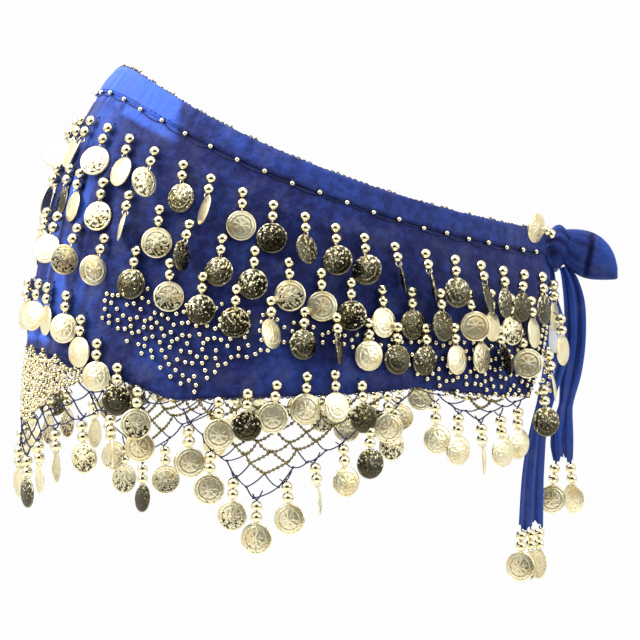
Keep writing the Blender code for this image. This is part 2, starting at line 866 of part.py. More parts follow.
def main():
    """Build the whole scarf."""
    clear_scene()
    collection = bpy.data.collections.new(SCARF)
    bpy.context.scene.collection.children.link(collection)
    build_panel(collection)
    build_nets(collection)
    build_rows(collection)
    build_peak_rows(collection)
    build_end_drops(collection)
    build_strap(collection)
    build_knot(collection)
    build_loop(collection)
    build_tail(collection, "long_tail", LONG_TAIL)
    build_tail(collection, "short_tail", SHORT_TAIL)
    build_tail_drops(collection, "long_tail_drops", LONG_TAIL, LONG_TAIL_DROPS)
    build_tail_drops(collection, "short_tail_drops", SHORT_TAIL, SHORT_TAIL_DROPS)
    build_knot_drop(collection)
    build_label(collection)


main()
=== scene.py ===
"""Belly dance hip scarf: the cloth, beads, coins, nets and tie that show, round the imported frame.

A place on the scarf is given by its turn, the angle in degrees round the hip form from the scarf's
centre, by its depth straight down from the top edge, and by its distance out from the form.
"""

import json
import math
import random
from collections import namedtuple

import bmesh
import bpy
import numpy as np
from mathutils import Matrix, Quaternion, Vector

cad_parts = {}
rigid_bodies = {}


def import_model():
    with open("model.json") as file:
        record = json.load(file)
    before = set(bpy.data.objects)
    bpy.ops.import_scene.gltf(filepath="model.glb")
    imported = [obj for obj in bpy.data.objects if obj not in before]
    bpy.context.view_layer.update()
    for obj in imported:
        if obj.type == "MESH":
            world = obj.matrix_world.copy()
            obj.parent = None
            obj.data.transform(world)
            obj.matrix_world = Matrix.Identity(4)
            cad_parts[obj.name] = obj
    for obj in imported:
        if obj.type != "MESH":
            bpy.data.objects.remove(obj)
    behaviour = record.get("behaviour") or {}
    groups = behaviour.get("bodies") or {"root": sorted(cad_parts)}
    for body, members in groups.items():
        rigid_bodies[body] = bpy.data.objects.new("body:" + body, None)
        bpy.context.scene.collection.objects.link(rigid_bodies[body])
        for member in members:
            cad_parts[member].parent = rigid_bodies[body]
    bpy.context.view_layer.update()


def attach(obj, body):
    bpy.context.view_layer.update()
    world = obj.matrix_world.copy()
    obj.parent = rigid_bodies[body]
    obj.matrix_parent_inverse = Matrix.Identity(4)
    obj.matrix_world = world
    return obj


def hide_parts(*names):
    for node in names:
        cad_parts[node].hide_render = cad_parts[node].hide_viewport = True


bl_info = {
    "name": "Belly dance hip scarf",
    "version": (1, 0, 0),
    "blender": (4, 5, 0),
    "location": "View3D > Sidebar > Hip scarf",
    "description": "Dresses the hip scarf's frame with cloth, beads, coins and nets",
    "category": "Object",
}

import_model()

# Hip form
HIP_HALF_WIDTH = 0.172
HIP_DEPTH_RATIO = 0.72
HIP_LINE = -0.177
TAPER_HEIGHT = 0.233
TAPER_BROAD = 0.045
TAPER_WAIST = 0.014
CENTRE_HEADING = 170.0
EDGE_TILT = 0.048
EDGE_SADDLE = 0.0084
METRES_PER_DEGREE = 0.00235

# Beaded panel
END_COLUMN = 151.0
LEAN_PER_METRE = 1.4
CLOTH = 0.0012
SEAM = 0.0004
BAND_DEPTH = 0.014

Corner = namedtuple("Corner", "column depth")
CENTRE_CORNER = Corner(63.0, 0.157)
SIDE_CORNER = Corner(117.0, 0.106)
END_CORNER = Corner(END_COLUMN, 0.098)
CENTRE_TIP = Corner(0.0, 0.218)
SIDE_TIP = Corner(91.0, 0.192)
END_TIP = Corner(136.0, 0.115)


def table(kind, *rows):
    """Rows of numbers with names for their columns."""
    return tuple(kind(*row) for row in rows)


# Soft upright folds, the same as the frame's
FOLD_LEAD = 0.020
Fold = namedtuple("Fold", "turn spread rise top foot")
FOLDS = table(
    Fold,
    (-139.0, 7.0, 0.0024, 0.020, 0.100),
    (-118.0, 6.5, 0.0018, 0.030, 0.110),
    (-88.0, 7.5, 0.0020, 0.040, 0.140),
    (-57.0, 6.5, 0.0022, 0.030, 0.160),
    (-28.0, 8.0, 0.0030, 0.025, 0.165),
    (-4.0, 7.5, 0.0026, 0.035, 0.165),
    (16.0, 7.0, 0.0034, 0.025, 0.165),
    (32.0, 6.5, 0.0024, 0.030, 0.160),
    (70.0, 7.0, 0.0016, 0.060, 0.150),
    (112.0, 6.5, 0.0018, 0.030, 0.110),
    (136.0, 6.5, 0.0026, 0.015, 0.100),
)

# Main creases: where each lies, how far it leans from upright, its length, breadth and rise
Crease = namedtuple("Crease", "turn depth lean length breadth rise")
CREASES = table(
    Crease,
    (3.0, 0.070, 4.0, 0.060, 0.0050, -0.0018),
    (9.5, 0.085, -3.0, 0.070, 0.0040, 0.0016),
    (14.0, 0.110, 2.0, 0.055, 0.0035, -0.0014),
    (22.0, 0.075, 6.0, 0.050, 0.0040, 0.0014),
    (27.5, 0.095, -4.0, 0.055, 0.0045, -0.0016),
    (24.0, 0.020, 72.0, 0.022, 0.0026, 0.0009),
    (33.0, 0.024, 64.0, 0.016, 0.0022, -0.0008),
    (40.0, 0.012, 30.0, 0.012, 0.0024, 0.0008),
    (47.0, 0.040, 58.0, 0.030, 0.0040, 0.0010),
    (56.0, 0.022, 80.0, 0.034, 0.0030, -0.0008),
    (68.0, 0.066, 74.0, 0.038, 0.0042, 0.0010),
    (79.0, 0.030, 84.0, 0.030, 0.0026, 0.0008),
    (84.0, 0.128, 78.0, 0.040, 0.0040, 0.0012),
    (90.0, 0.138, 96.0, 0.036, 0.0034, -0.0010),
    (99.0, 0.086, 40.0, 0.030, 0.0040, 0.0012),
    (108.0, 0.024, 88.0, 0.032, 0.0030, 0.0008),
    (121.0, 0.062, 18.0, 0.034, 0.0038, -0.0012),
    (128.0, 0.030, 64.0, 0.022, 0.0030, 0.0012),
    (141.0, 0.022, 40.0, 0.020, 0.0028, 0.0014),
    (143.0, 0.060, -8.0, 0.034, 0.0030, -0.0014),
    (-9.0, 0.060, -5.0, 0.055, 0.0045, 0.0015),
    (-16.0, 0.090, 4.0, 0.060, 0.0040, -0.0016),
    (-24.0, 0.024, -70.0, 0.020, 0.0024, 0.0008),
    (-36.0, 0.080, -3.0, 0.058, 0.0042, 0.0014),
    (-49.0, 0.050, -60.0, 0.030, 0.0040, -0.0010),
    (-64.0, 0.100, 8.0, 0.044, 0.0045, 0.0013),
    (-77.0, 0.034, -82.0, 0.034, 0.0030, 0.0009),
    (-86.0, 0.130, -78.0, 0.040, 0.0038, 0.0012),
    (-101.0, 0.084, -36.0, 0.030, 0.0042, -0.0012),
    (-110.0, 0.026, -84.0, 0.028, 0.0028, 0.0008),
    (-124.0, 0.060, -14.0, 0.036, 0.0036, 0.0013),
    (-137.0, 0.040, -44.0, 0.026, 0.0032, -0.0012),
    (-144.0, 0.064, 6.0, 0.030, 0.0030, 0.0012),
)

# Rows of coin drops
RowPoint = namedtuple("RowPoint", "turn depth")
UPPER_ROW = table(RowPoint, (0, 0.026), (180, 0.026))
MIDDLE_ROW = table(
    RowPoint,
    (0, 0.052),
    (60, 0.055),
    (90, 0.053),
    (104, 0.046),
    (117, 0.040),
    (180, 0.038),
)
LOWER_ROW = table(
    RowPoint,
    (0, 0.077),
    (20, 0.081),
    (75, 0.078),
    (98, 0.069),
    (115, 0.058),
    (180, 0.056),
)
CENTRE_PEAK_ROW = table(
    RowPoint,
    (-44.0, 0.158),
    (-19.0, 0.117),
    (19.0, 0.117),
    (44.0, 0.158),
)
SIDE_PEAK_ROW = table(RowPoint, (56.0, 0.148), (80.0, 0.106), (95.0, 0.111))
COIN_SPACING = 0.0178
ROW_END_MARGIN = 8.5
PILE_START = 92.0
PILE_END = 108.0
PILE_STEP = 0.0034
STRIP_DEEP = 0.0022
FRINGE_MARGIN = 0.04

# Nets
CENTRE_NET_CELLS = 12
SIDE_NET_CELLS = 9
END_NET_CELLS = 4
# Spacing of the drops on each net's lower edge, by the net's number of cells
FRINGE_SPACING = {CENTRE_NET_CELLS: 0.0195, SIDE_NET_CELLS: 0.0184, END_NET_CELLS: 0.0195}
NET_SEAM = 0.0006
NET_CORNER_INSET = 0.5

# Drops down the panel's short ends
END_DROPS = 4
END_DROP_TOP = 0.030
END_DROP_FOOT = 0.092
END_DROP_INSET = 0.6
END_DROP_STAGGER = 0.0042
END_DROP_OUT = 0.001

# Tie
KNOT_TURN = 151.5
KNOT_HEIGHT = -0.048
KNOT_OUT = 0.0072
KNOT_HALF = Vector((0.0074, 0.0073, 0.0128))
LOOP_HEADING = math.radians(-32.0)
TieSection = namedtuple("TieSection", "height turn out width twist")
LONG_TAIL = table(
    TieSection,
    (-0.0500, 152.1, -0.0024, 0.0100, 0),
    (-0.0640, 151.4, -0.0022, 0.0145, 0),
    (-0.0780, 149.0, -0.0022, 0.0130, 12),
    (-0.0921, 146.9, -0.0004, 0.0125, 46),
    (-0.1084, 145.0, 0.0004, 0.0140, 57),
    (-0.1213, 142.6, -0.0018, 0.0145, 42),
    (-0.1340, 138.8, -0.0038, 0.0170, 18),
    (-0.1500, 135.0, -0.0050, 0.0200, 0),
    (-0.1740, 132.8, -0.0050, 0.0220, 0),
    (-0.2060, 131.8, -0.0045, 0.0240, 0),
)
SHORT_TAIL = table(
    TieSection,
    (-0.0600, 151.5, 0.0072, 0.0070, 40),
    (-0.0680, 151.3, 0.0098, 0.0100, 62),
    (-0.0816, 151.3, 0.0104, 0.0124, 68),
    (-0.1027, 150.9, 0.0082, 0.0124, 68),
    (-0.1213, 150.0, 0.0044, 0.0125, 66),
    (-0.1371, 147.6, 0.0022, 0.0085, 60),
    (-0.1443, 146.0, 0.0016, 0.0096, 62),
    (-0.1588, 144.0, 0.0012, 0.0132, 64),
    (-0.1700, 143.2, 0.0024, 0.0112, 66),
)
TAIL_CLOTH = 0.0018
STRAP_CLOTH = 0.0020
STRAP_END = 206.1
STRAP_START_GAP = 0.25
STRAP_TOP = (0.002, 0.004)
STRAP_FOOT = (0.034, 0.020)
LoopSection = namedtuple("LoopSection", "reach top foot half_depth")
LOOP = table(
    LoopSection,
    (0.0020, -0.0372, -0.0560, 0.0030),
    (0.0070, -0.0364, -0.0600, 0.0046),
    (0.0130, -0.0366, -0.0640, 0.0060),
    (0.0190, -0.0378, -0.0658, 0.0070),
    (0.0250, -0.0408, -0.0662, 0.0068),
    (0.0300, -0.0456, -0.0662, 0.0058),
    (0.0335, -0.0520, -0.0660, 0.0042),
    (0.0352, -0.0590, -0.0654, 0.0016),
)
LONG_TAIL_DROPS = (-0.0085, 0.0, 0.0085)
SHORT_TAIL_DROPS = (-0.0040, 0.0040)
KNOT_DROP_START = (149.4, -0.0395, 0.0105)
KNOT_DROP_END = (137.4, -0.0235, 0.0075)
LABEL_SECTIONS = LONG_TAIL[3:5]
LABEL_WIDTH = 0.010
LABEL_CLOTH = 0.0010

# Patches of sewn beads: upper and lower bounds, for the front half, mirrored to the back
Patch = namedtuple("Patch", "top foot")
PATCHES = (
    Patch(
        table(RowPoint, (31, 0.112), (41, 0.103), (58, 0.095), (76, 0.090)),
        table(RowPoint, (31, 0.128), (44, 0.141), (54, 0.149), (60, 0.127), (71, 0.107),
              (76, 0.098)),
    ),
    Patch(
        table(RowPoint, (76, 0.090), (92, 0.084), (100, 0.080)),
        table(RowPoint, (76, 0.098), (88, 0.093), (100, 0.099)),
    ),
    Patch(
        table(RowPoint, (100, 0.080), (112, 0.074), (138, 0.070)),
        table(RowPoint, (100, 0.099), (108, 0.110), (117, 0.103), (138, 0.095)),
    ),
)

# Painted light on the cloth, where light falls on it and comes through it: middle turn and depth,
# half sizes, how soft the edge is, how much painted light
Bright = namedtuple("Bright", "turn depth half_turn half_depth edge share")
PAINTED_LIGHT_PATCHES = table(
    Bright,
    (10.0, 0.004, 34.0, 0.0150, 0.12, 0.82),
    (32.0, 0.012, 12.0, 0.0110, 0.18, 0.78),
    (10.0, 0.030, 16.0, 0.018, 0.85, 0.46),
    (9.0, 0.058, 3.6, 0.030, 0.75, 0.80),
    (17.0, 0.078, 3.4, 0.030, 0.80, 0.62),
    (3.0, 0.100, 2.8, 0.036, 0.70, 0.60),
    (13.5, 0.116, 3.2, 0.030, 0.75, 0.66),
    (21.0, 0.122, 2.4, 0.026, 0.80, 0.42),
    (27.0, 0.132, 2.6, 0.026, 0.80, 0.26),
    (3.5, 0.142, 9.0, 0.014, 0.30, 0.95),
    (44.0, 0.140, 6.0, 0.014, 0.90, 0.22),
    (76.0, 0.006, 22.0, 0.007, 0.80, 0.10),
    (78.0, 0.118, 15.0, 0.020, 0.90, 0.20),
    (58.0, 0.006, 7.0, 0.006, 0.80, 0.20),
    (-26.0, 0.006, 9.0, 0.010, 0.60, 0.55),
    (-14.0, 0.075, 3.4, 0.034, 0.80, 0.60),
    (-31.0, 0.090, 3.4, 0.036, 0.80, 0.50),
    (-58.0, 0.060, 3.0, 0.040, 0.90, 0.26),
    (-90.0, 0.110, 12.0, 0.024, 0.90, 0.16),
    (-128.0, 0.012, 12.0, 0.012, 0.90, 0.24),
)

# How far apart the form is sampled for its tangents, and a path's samples
FRAME_TURN = 0.5
FRAME_RISE = 0.002
PATH_SAMPLES = 240


class HIPSCARF_PG_cloth(bpy.types.PropertyGroup):
    """Sizes and colours of the cloth."""

    shell: bpy.props.FloatProperty(
        name="Cloth wall", description="Thickness of the shown cloth", default=0.0007,
        min=0.0002, unit="LENGTH",
    )
    crease_share: bpy.props.FloatProperty(
        name="Creases", description="How strongly the main creases show", default=1.0,
        min=0.0, max=2.0, subtype="FACTOR",
    )
    dark: bpy.props.FloatVectorProperty(
        name="Deep blue", description="Chiffon where it lies flat", subtype="COLOR", size=3,
        default=(0.0052, 0.0092, 0.078), min=0.0, max=1.0,
    )
    bright: bpy.props.FloatVectorProperty(
        name="Bright blue", description="Chiffon where light comes through", subtype="COLOR",
        size=3, default=(0.048, 0.125, 0.640), min=0.0, max=1.0,
    )
    tie: bpy.props.FloatVectorProperty(
        name="Tie blue", description="Doubled cloth of the tie", subtype="COLOR", size=3,
        default=(0.020, 0.066, 0.340), min=0.0, max=1.0,
    )


class HIPSCARF_PG_trim(bpy.types.PropertyGroup):
    """Sizes and colours of beads, coins and thread."""

    bead: bpy.props.FloatProperty(
        name="Drop bead", description="Diameter of a drop's beads", default=0.0064,
        min=0.001, unit="LENGTH",
    )
    coin: bpy.props.FloatProperty(
        name="Coin", description="Diameter of a coin", default=0.0172, min=0.004, unit="LENGTH",
    )
    seed: bpy.props.FloatProperty(
        name="Sewn bead", description="Diameter of a small sewn bead", default=0.0029,
        min=0.001, unit="LENGTH",
    )
    gold: bpy.props.FloatVectorProperty(
        name="Champagne gold", description="Plate of beads and coins", subtype="COLOR", size=3,
        default=(0.915, 0.835, 0.555), min=0.0, max=1.0,
    )
    patina: bpy.props.FloatVectorProperty(
        name="Patina", description="Dark finish in the coins' hollows", subtype="COLOR", size=3,
        default=(0.020, 0.018, 0.008), min=0.0, max=1.0,
    )
    thread: bpy.props.FloatVectorProperty(
        name="Thread", description="Dark blue sewing thread", subtype="COLOR", size=3,
        default=(0.006, 0.009, 0.060), min=0.0, max=1.0,
    )


class HIPSCARF_PG_studio(bpy.types.PropertyGroup):
    """Camera and lights."""

    azimuth: bpy.props.FloatProperty(
        name="Azimuth", description="Camera's angle round the scarf", default=math.radians(-32.0),
        subtype="ANGLE",
    )
    elevation: bpy.props.FloatProperty(
        name="Elevation", description="Camera's angle above level", default=math.radians(3.0),
        subtype="ANGLE",
    )
    distance: bpy.props.FloatProperty(
        name="Distance", description="Camera to the middle of the picture", default=2.2,
        min=0.5, unit="LENGTH",
    )
    across: bpy.props.FloatProperty(
        name="Width shown", description="Width that the picture shows at the scarf",
        default=0.375, min=0.1, unit="LENGTH",
    )


def clamp(value, low=0.0, high=1.0):
    """Value kept between two limits."""
    return min(max(value, low), high)


def blend(low, high, value):
    """Smooth rise from 0 at low to 1 at high."""
    share = clamp((value - low) / (high - low))
    return share * share * (3.0 - 2.0 * share)


def between(points, turn):
    """Depth of a row at a turn, straight between the row's points."""
    for left, right in zip(points, points[1:]):
        if turn <= right.turn:
            share = (turn - left.turn) / (right.turn - left.turn)
            return left.depth + (right.depth - left.depth) * share
    return points[-1].depth


def top_edge(turn):
    """Height of the scarf's top edge."""
    angle = math.radians(turn)
    return EDGE_TILT * math.cos(angle) + EDGE_SADDLE * math.cos(2.0 * angle)


def half_width(height):
    """Half width of the hip form, which tapers upwards to the waist."""
    rise = max(height - HIP_LINE, 0.0) / TAPER_HEIGHT
    return HIP_HALF_WIDTH - TAPER_BROAD * rise ** 2 - TAPER_WAIST * rise ** 8


def fold_rise(turn, height):
    """How far the folds lift the cloth off the hip form."""
    depth = top_edge(turn) - height
    rise = 0.0
    for fold in FOLDS:
        ridge = math.exp(-((turn - fold.turn) / fold.spread) ** 2)
        middle = (fold.top + fold.foot) / 2.0
        rise += fold.rise * ridge * blend(fold.top - FOLD_LEAD, middle, depth)
    return rise


def form_point(turn, height):
    """Point on the hip form, folds included."""
    angle = math.radians(CENTRE_HEADING + turn)
    width = half_width(height)
    lift = fold_rise(turn, height)
    across = (width + lift) * math.cos(angle)
    along = (width * HIP_DEPTH_RATIO + lift) * math.sin(angle)
    return Vector((across, along, height))


def form_frame(turn, height):
    """Level tangent and outward normal of the hip form."""
    tangent = form_point(turn + FRAME_TURN, height) - form_point(turn - FRAME_TURN, height)
    rise = form_point(turn, height + FRAME_RISE) - form_point(turn, height - FRAME_RISE)
    return tangent.normalized(), tangent.cross(rise).normalized()


def on_form(turn, height, out=0.0):
    """Point at a distance off the hip form."""
    return form_point(turn, height) + form_frame(turn, height)[1] * out


def crease_rise(turn, depth):
    """How far the main creases lift the cloth, kept off its very edge."""
    share = bpy.context.scene.hip_scarf_cloth.crease_share
    rise = 0.0
    for crease in CREASES:
        across = (turn - crease.turn) * METRES_PER_DEGREE
        down = depth - crease.depth
        lean = math.radians(crease.lean)
        side = across * math.cos(lean) + down * math.sin(lean)
        along = down * math.cos(lean) - across * math.sin(lean)
        if abs(side) < 3.0 * crease.breadth and abs(along) < 2.0 * crease.length:
            ridge = math.exp(-((side / crease.breadth) ** 2) - (along / crease.length) ** 2)
            rise += crease.rise * ridge
    return rise * share * blend(0.0, 0.006, depth)


def on_scarf(turn, depth, out=0.0):
    """Point of the shown cloth, creases included."""
    return on_form(turn, top_edge(turn) - depth, out + crease_rise(turn, depth))


def panel_turn(column, depth):
    """Turn of one of the cloth's columns, which lean in as they go down."""
    return column * (1.0 - LEAN_PER_METRE * depth)


def hem_depth(column):
    """Depth of the cloth's hem, straight between the net corners."""
    place = abs(column)
    if place <= CENTRE_CORNER.column:
        return CENTRE_CORNER.depth
    for upper, lower in ((CENTRE_CORNER, SIDE_CORNER), (SIDE_CORNER, END_CORNER)):
        if place <= lower.column:
            share = (place - upper.column) / (lower.column - upper.column)
            return upper.depth + (lower.depth - upper.depth) * share
    return END_CORNER.depth


def hem_corner(column):
    """The hem's own point at a column."""
    return Corner(column, hem_depth(column))


def even_steps(path, start, end, spacing):
    """Values between start and end that stand an even distance apart along a path."""
    reach = end - start
    values = [start + reach * step / PATH_SAMPLES for step in range(PATH_SAMPLES + 1)]
    points = [on_form(*path(value)) for value in values]
    lengths = [0.0]
    for before, after in zip(points, points[1:]):
        lengths.append(lengths[-1] + (after - before).length)
    count = max(round(lengths[-1] / spacing), 1)
    steps = []
    for index in range(count):
        target = lengths[-1] * (index + 0.5) / count
        place = next(i for i, length in enumerate(lengths) if length >= target)
        share = (target - lengths[place - 1]) / (lengths[place] - lengths[place - 1])
        steps.append(values[place - 1] + (values[place] - values[place - 1]) * share)
    return steps


def row_path(points):
    """Path of a row that is given on one half and mirrored to the other."""
    return lambda turn: (turn, top_edge(turn) - between(points, abs(turn)))


def open_row_path(points):
    """Path of a row that is given from end to end."""
    return lambda turn: (turn, top_edge(turn) - between(points, turn))


def midway(values):
    """Values halfway between neighbours."""
    return [(before + after) / 2.0 for before, after in zip(values, values[1:])]


def pile_lift(layer, turn):
    """Where the rows close up beside the ends, each lies over the next one down."""
    return PILE_STEP * layer * blend(PILE_START, PILE_END, abs(turn))


def net_edge_path(left, right, tip):
    """Lower edge of a net, from 0 at its left corner through 1 at its tip to 2."""

    def path(value):
        corner = left if value <= 1.0 else right
        share = abs(value - 1.0)
        column = tip.column + (corner.column - tip.column) * share
        depth = tip.depth + (corner.depth - tip.depth) * share + NET_SEAM
        turn = panel_turn(column, depth)
        return turn, top_edge(turn) - depth

    return path


def nets():
    """Names, sides, corners, tip and cells of all five nets."""
    rows = (
        (("centre",), hem_corner(-CENTRE_CORNER.column), CENTRE_CORNER, CENTRE_TIP,
         CENTRE_NET_CELLS),
        (("front", "back"), CENTRE_CORNER, SIDE_CORNER, SIDE_TIP, SIDE_NET_CELLS),
        (("front_end", "back_end"), SIDE_CORNER, END_CORNER, END_TIP, END_NET_CELLS),
    )
    found = []
    for names, left, right, tip, cells in rows:
        left = hem_corner(left.column + NET_CORNER_INSET)
        right = hem_corner(right.column - NET_CORNER_INSET)
        for name, side in zip(names, (1.0, -1.0)):
            found.append((name, side, left, right, tip, cells))
    return found


Shape = namedtuple("Shape", "points faces spots tone")


class Pile:
    """Shapes gathered into one joined mesh, with finish, tone and face coordinates."""

    def __init__(self):
        self.points = []
        self.loops = []
        self.sizes = []
        self.spots = []
        self.tones = []
        self.slots = []
        self.count = 0

    def add(self, shape, matrix=None, slot=0, tone=0.0):
        """Put one shape in, moved by a matrix and darkened or lightened by a tone."""
        points = shape.points
        if matrix is not None:
            turned = np.array(matrix.to_3x3())
            points = points @ turned.T + np.array(matrix.translation)
        self.points.append(points)
        self.spots.append(shape.spots)
        self.tones.append(shape.tone + tone)
        for face in shape.faces:
            self.loops.extend(corner + self.count for corner in face)
            self.sizes.append(len(face))
        self.slots.extend([slot] * len(shape.faces))
        self.count += len(points)

    def piece(self, name, finishes):
        """Make the joined object."""
        mesh = bpy.data.meshes.new(name)
        points = np.concatenate(self.points).astype(np.float32)
        loops = np.array(self.loops, dtype=np.int32)
        sizes = np.array(self.sizes, dtype=np.int32)
        mesh.vertices.add(len(points))
        mesh.vertices.foreach_set("co", points.ravel())
        mesh.loops.add(len(loops))
        mesh.loops.foreach_set("vertex_index", loops)
        mesh.polygons.add(len(sizes))
        mesh.polygons.foreach_set("loop_start", np.cumsum(sizes) - sizes)
        mesh.polygons.foreach_set("material_index", np.array(self.slots, dtype=np.int32))
        mesh.update(calc_edges=True)
        mesh.validate()
        spots = np.concatenate(self.spots).astype(np.float32)
        layer = mesh.uv_layers.new(name="face")
        layer.data.foreach_set("uv", spots[loops].ravel())
        tone = mesh.attributes.new("tone", "FLOAT", "POINT")
        tone.data.foreach_set("value", np.concatenate(self.tones).astype(np.float32))
        for finish in finishes:
            mesh.materials.append(finish)
        mesh.shade_smooth()
        piece = bpy.data.objects.new(name, mesh)
        bpy.context.scene.collection.objects.link(piece)
        return piece


def grid_faces(rows, columns, closed=False):
    """Quads of a grid of points given row by row, wrapped round where closed."""
    faces = []
    for row in range(rows - 1):
        for column in range(columns if closed else columns - 1):
            follow = (column + 1) % columns
            first = row * columns
            second = first + columns
            faces.append((first + column, first + follow, second + follow, second + column))
    return faces


def tube_faces(rows, columns):
    """Faces of a closed tube given ring by ring, with a flat face at each end."""
    faces = grid_faces(rows, columns, closed=True)
    faces.append(tuple(range(columns))[::-1])
    faces.append(tuple(range((rows - 1) * columns, rows * columns)))
    return faces


def along_shares(count, at):
    """Points at a number of even shares from 0 to 1."""
    return [at(part / (count - 1.0)) for part in range(count)]


def surface(size, at, faces):
    """A shape of rows by columns of points; at(row, column) gives point, spot and tone."""
    entries = [at(row, column) for row in range(size[0]) for column in range(size[1])]
    points, spots, tones = (np.array(part) for part in zip(*entries))
    return Shape(points, faces, spots, tones)


def placed(centre, size, *turns):
    """Matrix that puts a unit shape at a place, turned and scaled."""
    matrix = Matrix.Translation(centre)
    for turn in turns:
        matrix = matrix @ turn
    return matrix @ Matrix.Diagonal((size, size, size, 1.0))


def thread(points, radius, sides=4):
    """A round thread along a line of points, closed at both ends."""
    points = [Vector(point) for point in points]
    side = None
    rings = []
    spots = []
    run = 0.0
    for index, point in enumerate(points):
        before = points[max(index - 1, 0)]
        after = points[min(index + 1, len(points) - 1)]
        along = (after - before).normalized()
        if side is None:
            side = along.orthogonal().normalized()
        side = (side - along * side.dot(along)).normalized()
        other = along.cross(side)
        run += (point - before).length
        for step in range(sides):
            angle = 2.0 * math.pi * step / sides
            rings.append(point + (side * math.cos(angle) + other * math.sin(angle)) * radius)
            spots.append((step / sides, run))
    faces = tube_faces(len(points), sides)
    return Shape(np.array(rings), faces, np.array(spots), np.zeros(len(rings)))


def ball(segments, rings, flat=1.0, hole=0.0):
    """A bead of diameter 1 with its hole upright; flat squashes it along the hole."""
    points = []
    spots = []
    first = math.asin(hole)
    for ring in range(rings + 1):
        polar = first + (math.pi - 2.0 * first) * ring / rings
        for segment in range(segments):
            angle = 2.0 * math.pi * segment / segments
            level = math.cos(polar) * flat
            reach = math.sin(polar)
            points.append((reach * math.cos(angle) / 2, reach * math.sin(angle) / 2, level / 2))
            spots.append((segment / segments, ring / rings))
    faces = [face[::-1] for face in grid_faces(rings + 1, segments, closed=True)]
    faces.append(tuple(range(segments)))
    faces.append(tuple(range(rings * segments, (rings + 1) * segments))[::-1])
    return Shape(np.array(points), faces, np.array(spots), np.zeros(len(points)))


# Coin relief: radii and heights as shares of the coin's own radius
COIN_RIM = 0.90
COIN_BORDER = 0.76
COIN_FIELD = 0.66
COIN_BOSS = 0.17
COIN_PETALS = 8
COIN_BORDER_DOTS = 20
COIN_RISE = 0.022
COIN_DOME = 0.150
COIN_HALF_THICK = 0.024
COIN_RINGS = (0.14, 0.20, 0.33, 0.46, 0.58, 0.655, 0.68, 0.75, 0.78, 0.88, 0.92, 1.0)
HOLLOW_TONE = 0.35


def coin_relief(reach, angle):
    """Height of the coin's stamped ornament, from 0 in the hollows to 1 on the ridges."""
    if reach > COIN_RIM:
        return 1.0
    if reach > COIN_BORDER:
        return 0.15 + 0.75 * max(math.cos(COIN_BORDER_DOTS * angle), 0.0) ** 0.5
    if reach > COIN_FIELD:
        return 0.75
    if reach < COIN_BOSS:
        return 1.0
    petal = abs(math.cos(COIN_PETALS * angle / 2.0))
    middle = (COIN_FIELD + COIN_BOSS) / 2.0
    swell = 1.0 - abs(reach - middle) / (COIN_FIELD - middle)
    return clamp(1.6 * petal * (0.35 + swell) - 0.35)


def coin(segments=36):
    """A stamped, slightly domed coin of radius 1, facing +Z with its top at +Y."""
    points = []
    spots = []
    tone = []
    for side in (1.0, -1.0):
        for reach in COIN_RINGS:
            for segment in range(segments):
                angle = 2.0 * math.pi * segment / segments
                relief = coin_relief(reach, angle)
                edge = 0.0 if reach == 1.0 else COIN_RISE * relief
                dome = COIN_DOME * (1.0 - reach * reach)
                x = reach * math.cos(angle)
                y = reach * math.sin(angle)
                points.append((x * side, y, side * (COIN_HALF_THICK + edge) + dome))
                spots.append((x, y))
                tone.append(HOLLOW_TONE * (1.0 - relief))
    ring_count = len(COIN_RINGS)
    faces = []
    for side in range(2):
        start = side * ring_count * segments
        faces.append(tuple(start + segment for segment in range(segments)))
        for face in grid_faces(ring_count, segments, closed=True):
            faces.append(tuple(corner + start for corner in face[::-1]))
    outer = (ring_count - 1) * segments
    back = ring_count * segments + outer
    half = segments // 2
    for segment in range(segments):
        follow = (segment + 1) % segments
        mirror = (half - segment) % segments
        mirror_follow = (half - follow) % segments
        faces.append((outer + segment, back + mirror, back + mirror_follow, outer + follow))
    return Shape(np.array(points), faces, np.array(spots), np.array(tone))


def ring_shape(radius, wire, segments=12, sides=5):
    """A closed wire ring in the YZ plane."""
    points = []
    for step in range(segments):
        angle = 2.0 * math.pi * step / segments
        heading = Vector((0.0, math.cos(angle), math.sin(angle)))
        for corner in range(sides):
            around = 2.0 * math.pi * corner / sides
            offset = heading * math.cos(around) + Vector((1.0, 0.0, 0.0)) * math.sin(around)
            points.append(heading * radius + offset * wire)
    faces = []
    for step in range(segments):
        follow = (step + 1) % segments
        for corner in range(sides):
            beside = (corner + 1) % sides
            faces.append((follow * sides + corner, follow * sides + beside,
                          step * sides + beside, step * sides + corner))
    return Shape(np.array(points), faces, np.zeros((len(points), 2)), np.zeros(len(points)))


class Signal:
    """A number socket of a finish; sums and products of signals add their Math nodes."""

    def __init__(self, finish, socket):
        self.finish = finish
        self.socket = socket

    def maths(self, operation, other=None, swap=False):
        values = [other, self] if swap else [self, other]
        wired = {index: value for index, value in enumerate(values) if value is not None}
        return self.finish.node("ShaderNodeMath", {"operation": operation}, wired)

    def __add__(self, other):
        return self.maths("ADD", other)

    __radd__ = __add__

    def __sub__(self, other):
        return self.maths("SUBTRACT", other)

    def __rsub__(self, other):
        return self.maths("SUBTRACT", other, swap=True)

    def __mul__(self, other):
        return self.maths("MULTIPLY", other)

    __rmul__ = __mul__

    def sine(self):
        return self.maths("SINE")

    def limit(self):
        """The signal kept between 0 and 1."""
        return self.maths("MAXIMUM", 0.0).maths("MINIMUM", 1.0)

    def rise(self, low, high):
        """Smooth step from 0 at low to 1 at high."""
        wired = {"Value": self, "From Min": low, "From Max": high}
        return self.finish.node("ShaderNodeMapRange", {"interpolation_type": "SMOOTHSTEP"}, wired)


